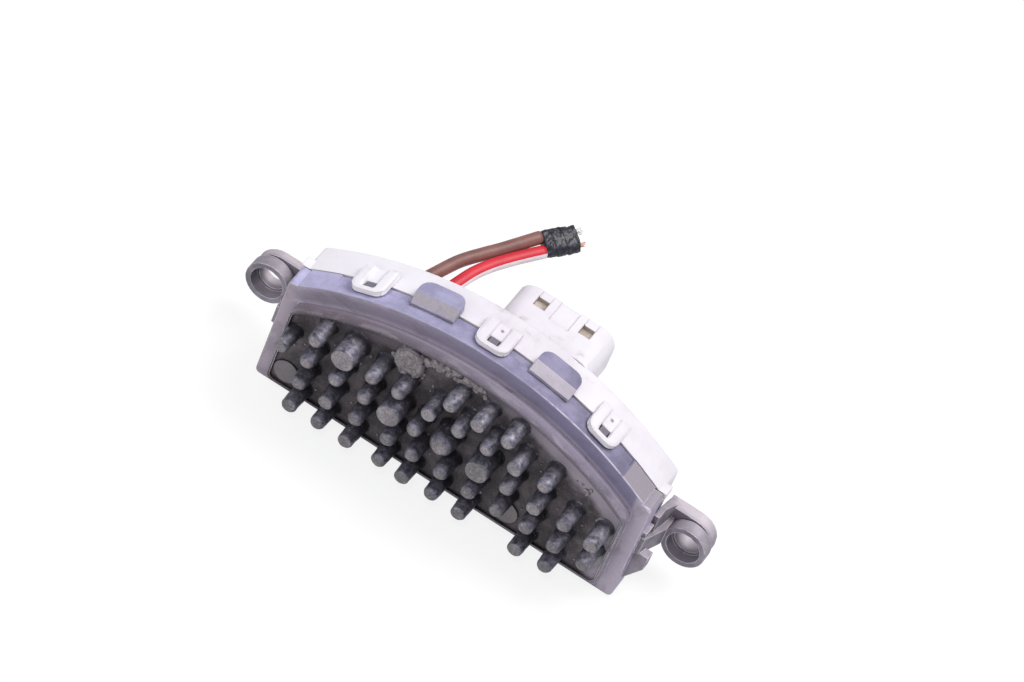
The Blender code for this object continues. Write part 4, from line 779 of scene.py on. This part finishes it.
def pin_profile(kind):
    """Radius and reach of a pin from its foot to the middle of its tip."""
    radius = pin_radius(kind)
    length = SMALL_LENGTH if kind == "s" else PIN_LENGTH
    foot = radius + PIN_DRAFT
    profile = [
        (foot + 0.45 * MM, -0.05 * MM),
        (foot + 0.24 * MM, 0.22 * MM),
        (foot + 0.12 * MM, PIN_FOOT),
    ]
    dome = 0.62 * radius if kind in "dD" else 0.3 * MM
    for step in range(1, 11):
        share = step / 10
        along = PIN_FOOT + (length - dome - PIN_FOOT) * share
        width = foot + (radius - foot) * along / (length - dome)
        profile.append((width + PIN_SKIN, along))
    if kind in "dD":
        for degrees in range(12, 90, 12):
            angle = math.radians(degrees)
            across = (radius + PIN_SKIN) * math.cos(angle)
            profile.append((across, length - dome + (dome + PIN_SKIN) * math.sin(angle)))
    else:
        profile.append((radius + 0.02 * MM, length - 0.12 * MM))
        profile.append((radius - 0.22 * MM, length + 0.07 * MM))
        for share in (0.8, 0.6, 0.4, 0.2):
            profile.append((radius * share, length + PIN_SKIN))
    return profile, length


def spoke(i, sides):
    """Points outwards across the depth, at one of so many sides of a ring."""
    angle = math.tau * i / sides
    return Vector((math.cos(angle), 0, math.sin(angle)))


def add_pin(work, kind, x, z, pitted, seed):
    """One pin with an uneven cast and corroded skin over the plain one."""
    profile, length = pin_profile(kind)
    sides = 30 if kind in "DF" else 24
    offset = Vector((seed * 3.17, seed * 1.31, seed * 2.03))
    rings = []
    for radius, along in profile:
        ring = []
        for i in range(sides):
            out = spoke(i, sides)
            spot = out * (radius / MM) * 0.55 + Vector((0, along / MM * 0.55, 0)) + offset
            rough = noise.fractal(spot, 0.8, 2.1, 3) * 0.11 * MM
            spread = radius + max(rough, -0.06 * MM)
            if along < 0.7 * MM:
                spread += 0.25 * MM * max(0, noise.noise(spot * 1.7))
            lift = along
            if pitted and along > length - 1.2 * MM:
                crater = (out * radius - Vector((0.3 * MM, 0, 0.35 * MM))).length
                lift += 0.34 * MM
                lift -= 0.36 * MM * max(0, 1 - crater / (0.75 * MM))
            elif along > length - 1.0 * MM:
                lift += 0.05 * MM * noise.noise(spot * 2.3)
            place = Vector((x, PIN_FLOOR_Y - lift, z)) + out * spread
            ring.append(work.verts.new(place))
        rings.append(ring)
    bridge(work, rings)
    middle = Vector((0, 0, 0))
    for vert in rings[-1]:
        middle += vert.co / sides
    top = work.verts.new(middle + Vector((0, -0.02 * MM, 0)))
    for i in range(sides):
        face = work.faces.new((rings[-1][i], rings[-1][(i + 1) % sides], top))
        face.smooth = True


def make_pins(material):
    work = bmesh.new()
    for seed, (kind, x, z, key) in enumerate(pin_places(), 3):
        add_pin(work, kind, x, z, key in PITTED, seed)
    return add_piece("pin_skins", work, [material], turn_out=True)


def add_lump(work, place, size, seed):
    """One crumb: a small ball pushed about by noise and flattened on the casting."""
    made = bmesh.ops.create_icosphere(work, subdivisions=3, radius=size)
    for vert in made["verts"]:
        spot = vert.co / size * 1.3 + Vector((seed * 2.7, seed, -seed * 1.9))
        vert.co *= 1 + 0.38 * noise.fractal(spot, 0.7, 2.2, 4)
        vert.co.y *= 0.5
        vert.co += Vector(place)
    for face in {face for vert in made["verts"] for face in vert.link_faces}:
        face.smooth = True


def make_crumbs(material):
    """Corrosion on the recess floor: along the arched lip, on the stump and by the pins."""
    rng = random.Random(17)
    work = bmesh.new()
    spots = []
    for step in range(26):
        x = (-11.5 + 0.62 * step + rng.uniform(-0.4, 0.4)) * MM
        z = lip_height(x) - rng.uniform(0.7, 3.0) * MM
        spots.append((x, z, rng.uniform(0.6, 1.25) * MM, 0.15))
    for step in range(30):
        angle = rng.uniform(0, math.tau)
        reach = 3.1 * MM * math.sqrt(rng.random())
        x = STUMP_X + reach * math.cos(angle)
        z = 35.8 * MM + reach * math.sin(angle)
        spots.append((x, z, rng.uniform(0.3, 0.8) * MM, 1.45))
    for x, z in HEAPS:
        for _ in range(5):
            shift = rng.uniform(-0.9, 0.9), rng.uniform(-0.9, 0.9)
            size = rng.uniform(0.3, 0.7) * MM
            spots.append(((x + shift[0]) * MM, (z + shift[1]) * MM, size, 0.2))
    for _ in range(46):
        x = rng.uniform(-43, 43) * MM
        z = rng.uniform(7, 33) * MM
        if z < lip_height(x) - 2 * MM:
            spots.append((x, z, rng.uniform(0.16, 0.42) * MM, 0.1))
    for seed, (x, z, size, lift) in enumerate(spots):
        add_lump(work, (x, PIN_FLOOR_Y - lift * MM, z), size, seed)
    return add_piece("corrosion_crumbs", work, [material])


def make_stump_cap(material):
    """The broken, corroded face of the stump that stands left of the middle."""
    work = bmesh.new()
    sides, rows = 72, 16
    middle = Vector((STUMP_X, PIN_FLOOR_Y, lip_height(STUMP_X) - STUMP_DROP))
    rings = []
    for row in range(rows + 1):
        share = 1 - row / rows
        ring = []
        for i in range(sides):
            out = spoke(i, sides)
            spot = out * share * 2.1 + Vector((4.2, 0, 1.7))
            rim = STUMP_RIM + 0.5 * MM * noise.fractal(out * 1.4, 0.8, 2.1, 4)
            crumble = noise.fractal(spot, 0.75, 2.2, 5)
            lift = 1.62 * MM + 0.75 * MM * max(-0.1, crumble) if row > 1 else row * 0.8 * MM
            radius = rim * min(1, share * 1.06)
            place = middle + out * radius + Vector((0, -max(lift, -0.05 * MM), 0))
            limit = lip_height(place.x) - 0.03 * MM
            place.z = min(place.z, limit)
            ring.append(work.verts.new(place))
        rings.append(ring)
    bridge(work, rings)
    bmesh.ops.remove_doubles(work, verts=work.verts, dist=1e-7)
    return add_piece("stump_cap", work, [material], turn_out=True)


def swung(x):
    """Carries what is made at the crown along the arch to another place."""
    pivot = Matrix.Translation((0, 0, ARC_CENTRE_Z))
    return pivot @ Matrix.Rotation(math.asin(x / ARC_RADIUS), 4, "Y") @ pivot.inverted()


def edge_distance(x, y, low, high, half, corner):
    """How far a place lies inside a rectangle whose front corners are rounded."""
    inside = min(half - abs(x), y - low, high - y)
    past_x = abs(x) - (half - corner)
    past_y = (low + corner) - y
    if past_x > 0 and past_y > 0:
        inside = min(inside, corner - math.hypot(past_x, past_y))
    return inside


def rounding(distance, radius):
    """How far a rounded edge has dropped at that distance inside it."""
    reach = min(max(distance, 0), radius)
    return radius - math.sqrt(radius**2 - (radius - reach) ** 2)


def clip_height(x, y):
    """Height of a clip's skin over the crown: a full rim round a hollowed trough."""
    outer = edge_distance(x, y, CLIP_FRONT, CLIP_BACK, CLIP_HALF, CLIP_CORNER)
    trough = edge_distance(x, y, TROUGH_FRONT, TROUGH_BACK, TROUGH_HALF, TROUGH_CORNER)
    top = 1.70 + 0.16 * math.sin(math.pi * min(max((y - 2) / 8, 0), 1))
    crown = top - rounding(outer, 0.75) + 0.1 * min(outer, 1.2)
    if trough > 0:
        return max(0.83, 0.86 + 0.5 * rounding(trough, 0.5) + 0.05 * max(0, y - 8.5))
    return crown - 0.9 * rounding(-trough, 0.6)


def clear_clip_bars(work):
    """Takes down the thin bar between a clip's window and its trough."""
    for x in CLIP_PLACES:
        matrix = swung(x)
        back = matrix.inverted()
        for vert in work.verts:
            place = (back @ vert.co - Vector((0, FRONT_Y, CROWN_HEIGHT))) / MM
            in_bar = abs(place.x) < BAR_HALF and BAR_FRONT < place.y < BAR_BACK
            if in_bar and BAR_FOOT < place.z < BAR_TOP:
                place.z = BAR_SUNK
                vert.co = matrix @ (place * MM + Vector((0, FRONT_Y, CROWN_HEIGHT)))


def make_latch_beds(material):
    """What shows in the two latch windows of the shroud: a slightly sunken bed whose darkened
    colour is painted shade.
    """
    work = bmesh.new()
    for way in (-1, 1):
        steps = 10
        rows = []
        for j in range(steps + 1):
            row = []
            for i in range(steps + 1):
                x = SHROUD_X + way * LATCH_OFFSET + BED_WIDTH * (i / steps - 0.5)
                y = BED_FRONT + BED_LENGTH * j / steps
                sag = BED_SAG * math.sin(math.pi * j / steps)
                z = BED_HEIGHT - sag + 0.08 * noise.noise(Vector((x, y, way)))
                row.append(work.verts.new(Vector((x, y, z)) * MM + ROUTE_SHIFT))
            rows.append(row)
        for near, far in zip(rows, rows[1:]):
            for i in range(steps):
                work.faces.new((near[i], near[i + 1], far[i + 1], far[i])).smooth = True
    return add_piece("latch_beds", work, [material])


def make_clip_skin(work, matrix, pierced):
    """One clip's moulded face: rim, trough and the window that shows the catch."""
    columns = round(2 * SHEET_HALF / SHEET_STEP)
    rows = round(SHEET_LENGTH / SHEET_STEP)
    verts = {}
    window = set()
    for i in range(columns + 1):
        for j in range(rows + 1):
            x = -SHEET_HALF + 2 * SHEET_HALF * i / columns
            y = SHEET_FRONT + SHEET_LENGTH * j / rows
            outer = edge_distance(x, y, CLIP_FRONT, CLIP_BACK, CLIP_HALF, CLIP_CORNER)
            hole = edge_distance(x, y, WINDOW_FRONT, WINDOW_BACK, WINDOW_HALF, 0.0)
            in_pin_hole = math.hypot(x, y - PIN_HOLE_Y) < PIN_HOLE_RADIUS
            if outer < 0:
                x, y = pulled_in(x, y)
                height = 0.33 if outer < -0.06 else 0.9
            elif hole > 0:
                height = 0.5
                window.add((i, j))
                to_front, to_back = y - WINDOW_FRONT, WINDOW_BACK - y
                if WINDOW_HALF - abs(x) < min(to_front, to_back):
                    x = math.copysign(WINDOW_HALF, x)
                else:
                    y = WINDOW_FRONT if to_front < to_back else WINDOW_BACK
            else:
                height = clip_height(x, y)
                if in_pin_hole and pierced:
                    height = 0.1
            place = Vector((x * MM, FRONT_Y + y * MM, CROWN_HEIGHT + height * MM))
            verts[i, j] = work.verts.new(matrix @ place)
    for i in range(columns):
        for j in range(rows):
            corners = ((i, j), (i + 1, j), (i + 1, j + 1), (i, j + 1))
            if all(corner in window for corner in corners):
                continue
            face = work.faces.new([verts[corner] for corner in corners])
            face.smooth = True


def pulled_in(x, y):
    """The nearest place on the outline of a clip to one outside it."""
    x = min(max(x, -CLIP_HALF), CLIP_HALF)
    y = min(max(y, CLIP_FRONT), CLIP_BACK)
    middle_x = math.copysign(CLIP_HALF - CLIP_CORNER, x)
    past_x = abs(x) - (CLIP_HALF - CLIP_CORNER)
    past_y = (CLIP_FRONT + CLIP_CORNER) - y
    reach = math.hypot(past_x, past_y)
    if past_x > 0 and past_y > 0 and reach > CLIP_CORNER:
        x = middle_x + math.copysign(past_x, x) * CLIP_CORNER / reach
        y = CLIP_FRONT + CLIP_CORNER - past_y * CLIP_CORNER / reach
    return x, y


def make_clip_skins(material):
    work = bmesh.new()
    for x in CLIP_PLACES:
        make_clip_skin(work, swung(x), x != CLIP_PLACES[0])
    bmesh.ops.dissolve_degenerate(work, dist=1e-7, edges=work.edges)
    return add_piece("clip_faces", work, [material])


def smooth_route(points, spacing):
    """Points read at even steps from a smooth curve through the route's own points."""
    knots = [points[0] * 2 - points[1], *points, points[-1] * 2 - points[-2]]
    fine = []
    steps = 12
    for before, start, end, after in zip(knots, knots[1:], knots[2:], knots[3:]):
        for step in range(steps):
            t = step / steps
            slope = (end - before) * t
            square = (2 * before - 5 * start + 4 * end - after) * t**2
            cube = (3 * start - before - 3 * end + after) * t**3
            fine.append(0.5 * (2 * start + slope + square + cube))
    fine.append(points[-1])
    lengths = [0.0]
    for start, end in zip(fine, fine[1:]):
        lengths.append(lengths[-1] + (end - start).length)
    count = max(2, round(lengths[-1] / spacing))
    even = []
    index = 0
    for step in range(count + 1):
        target = lengths[-1] * step / count
        while index < len(fine) - 2 and lengths[index + 1] < target:
            index += 1
        part = (target - lengths[index]) / (lengths[index + 1] - lengths[index])
        even.append(fine[index].lerp(fine[index + 1], part))
    return even, lengths[-1]


def tape_frame():
    """Place of the tape: its length along Y, its width along X, and its middle."""
    along = (TAPE_END - TAPE_START).normalized()
    across = along.cross(Vector((0, 0, 1))).normalized()
    up = across.cross(along)
    matrix = Matrix((across, along, up)).transposed().to_4x4()
    tilt = Matrix.Rotation(TAPE_TILT, 4, "Y")
    return Matrix.Translation(TAPE_START) @ matrix @ tilt, (TAPE_END - TAPE_START).length


def tube_rings(work, places, radius, sides, wobble=0.0):
    """Rings of vertices round a way, each square to it."""
    rings = []
    up = Vector((0, 0, 1))
    for index, place in enumerate(places):
        before = places[max(index - 1, 0)]
        after = places[min(index + 1, len(places) - 1)]
        along = (after - before).normalized()
        across = along.cross(up).normalized()
        lift = across.cross(along)
        ring = []
        for i in range(sides):
            angle = math.tau * i / sides
            out = across * math.cos(angle) + lift * math.sin(angle)
            swell = wobble * noise.noise(place * 400 + out * 0.4)
            ring.append(work.verts.new(place + out * (radius + swell)))
        rings.append(ring)
    return rings


def make_lead(name, side, x, route, materials, stripe=()):
    """A motor lead as a cord that runs into the tape, and its tracer stripe if any."""
    points = [Vector((x, LEAD_START_Y, LEAD_HEIGHT)), Vector((x, COVER_BACK_Y, LEAD_HEIGHT))]
    points += [Vector(place) * MM + ROUTE_SHIFT for place in route]
    matrix, _ = tape_frame()
    points += [matrix @ Vector((side * LEAD_OFFSET, -0.3 * MM, 0))]
    places, length = smooth_route(points, 0.9 * MM)
    work = bmesh.new()
    rings = tube_rings(work, places, LEAD_RADIUS, LEAD_SIDES, 0.03 * MM)
    bridge(work, rings, closed=True)
    for index, face in enumerate(work.faces):
        if index < (len(rings) - 1) * LEAD_SIDES and index % LEAD_SIDES in stripe:
            face.material_index = 1
    node = name.replace("dressed_", "")
    piece = add_piece(name, work, materials, [node], turn_out=True)


def make_tape(material):
    """Tape wound round the cut ends: overlapping turns, creases and a crumpled end."""
    matrix, length = tape_frame()
    work = bmesh.new()
    sides, steps = 64, 46
    squareness, gap = 2.6, 0.02 * MM
    rings = []
    for step in range(steps + 1):
        along = length * step / steps
        ring = []
        for i in range(sides):
            angle = math.tau * i / sides
            out = spoke(i, sides)
            flat = abs(out.x) ** squareness + abs(out.z) ** squareness
            flat = flat ** (-1 / squareness)
            turn = (along / MM * 0.34 + angle / math.tau) % 1
            layer = -0.16 * MM * turn
            spot = out * 1.7 + Vector((0, along / MM * 0.42, 0))
            crease = -0.42 * MM * abs(noise.fractal(spot, 0.7, 2.1, 4))
            pinch = -0.25 * MM * max(0, 1 - step / 5)
            half = (TAPE_HALF - gap) * flat
            thick = (TAPE_THICK - gap) * flat
            place = Vector((out.x * half, along, out.z * thick))
            place += out * (layer + crease + pinch)
            if step == steps:
                place.y += 0.35 * MM * noise.noise(Vector((angle * 1.9, 3.1, 0.7)))
            ring.append(work.verts.new(matrix @ place))
        rings.append(ring)
    bridge(work, rings)
    for ring, depth, flip in ((rings[0], -0.1, True), (rings[-1], -0.9, False)):
        inner = []
        middle = sum((vert.co for vert in ring), Vector()) / sides
        along = matrix.to_3x3() @ Vector((0, 1, 0))
        for i, vert in enumerate(ring):
            fold = 0.62 + 0.12 * noise.noise(vert.co * 900)
            place = middle + (vert.co - middle) * fold + along * depth * MM
            inner.append(work.verts.new(place))
        bridge(work, [inner, ring] if flip else [ring, inner])
        face = work.faces.new(reversed(inner) if flip else inner)
        face.smooth = True
    return add_piece("dressed_tape", work, [material], ["tape_wrap"], turn_out=True)


def make_strands(name, side, count, seed, materials):
    """The fine wires of a cut lead, bent every way as they leave the tape."""
    matrix, length = tape_frame()
    rng = random.Random(seed)
    work = bmesh.new()
    for index in range(count):
        across = rng.uniform(-0.55, 0.55) * MM
        up = rng.uniform(-0.5, 0.5) * MM
        reach = rng.uniform(1.6, 2.6) * MM
        bend = rng.uniform(-0.35, 0.35) * MM, rng.uniform(-0.3, 0.3) * MM
        start = Vector((side * LEAD_OFFSET + across, length - 0.8 * MM, up))
        middle = start + Vector((bend[0] * 0.3, 0.8 * MM + reach * 0.5, bend[1] * 0.3))
        end = start + Vector((bend[0], 0.8 * MM + reach, bend[1]))
        places, _ = smooth_route([matrix @ p for p in (start, middle, end)], 0.35 * MM)
        bridge(work, tube_rings(work, places, 0.09 * MM, 6), closed=True, material=index % 2)
    replaced = ["copper_strands_brown" if side < 0 else "copper_strands_red"]
    return add_piece(name, work, materials, replaced, turn_out=True)


def dress_nodes():
    """Finishes of the CAD nodes that stay as they are, by what their names hold."""
    black = paint_moulding("black_moulding_finish", (0.03, 0.03, 0.032), (0.018, 0.018, 0.02), 0.4)
    pad = paint_moulding("grey_pad_finish", (0.36, 0.37, 0.39), (0.29, 0.30, 0.32), 0.7)
    steel = paint_metal("zinc_plated_steel", (0.66, 0.66, 0.64), (0.48, 0.48, 0.47), 0.25)
    brass = paint_metal("tinned_brass_finish", (0.74, 0.71, 0.62), (0.58, 0.54, 0.44), 0.22)
    copper = paint_metal("bare_copper", (0.74, 0.40, 0.24), (0.52, 0.26, 0.15), 0.3)
    ferrite = paint_moulding("ferrite_finish", (0.06, 0.06, 0.065), (0.04, 0.04, 0.045), 0.6)
    sleeve = paint_moulding("blue_sleeve", (0.035, 0.07, 0.23), (0.025, 0.05, 0.17), 0.3)
    finishes = {
        "circuit_board": paint_board(),
        "choke": ferrite,
        "control_chip": black,
        "shunt_strip": copper,
        "lead_cup": brass,
        "screw": steel,
        "connector_blade": brass,
        "power_transistor": black,
        "insulating_pad": pad,
        "capacitor": sleeve,
    }
    for name, node in NODES.items():
        for kind, material in finishes.items():
            if kind in name:
                node.data.materials[0] = material
    return copper, steel


def dress_shell(name, node, material):
    """A casing dressed from its CAD mesh, its flat faces shaded flat up to their roundings."""
    work = welded(node)
    if node == "cover":
        clear_clip_bars(work)
    piece = add_piece(name, work, [material], [node])
    shade = piece.modifiers.new("flat_faces", "WEIGHTED_NORMAL")
    shade.keep_sharp = True
    shade.weight = 80
    return piece


def build():
    set_stage()
    copper, steel = dress_nodes()
    dress_shell("dressed_heat_sink", "heat_sink", paint_casting())
    plastic = paint_cover()
    dress_shell("dressed_cover", "cover", plastic)
    make_clip_skins(plastic)
    # Painted shade: the bed's colour is darkened for the shade inside the latch windows
    make_latch_beds(paint_moulding("shaded_latch_bed", (0.66, 0.57, 0.51), (0.46, 0.39, 0.34), 0.6))
    make_pins(paint_pins())
    crumbs = paint_crumbs()
    make_crumbs(crumbs)
    make_stump_cap(crumbs)
    brown, red, white, pink = (
        paint_insulation(name, light, dark, dirt) for name, light, dark, dirt in INSULATIONS
    )
    tape = make_tape(paint_tape())
    tin = paint_metal("tinned_strands", (0.70, 0.68, 0.66), (0.52, 0.49, 0.47), 0.3)
    first = make_strands("strands_of_brown", -1, 12, 5, [tin, steel])
    second = make_strands("strands_of_red", 1, 11, 9, [pink, copper])
    make_lead(
        "dressed_lead_brown", -1, BROWN_LEAD_X, BROWN_ROUTE, [brown],
    )
    make_lead(
        "dressed_lead_red", 1, RED_LEAD_X, RED_ROUTE, [red, white],
        TRACER_FACES,
    )


build()
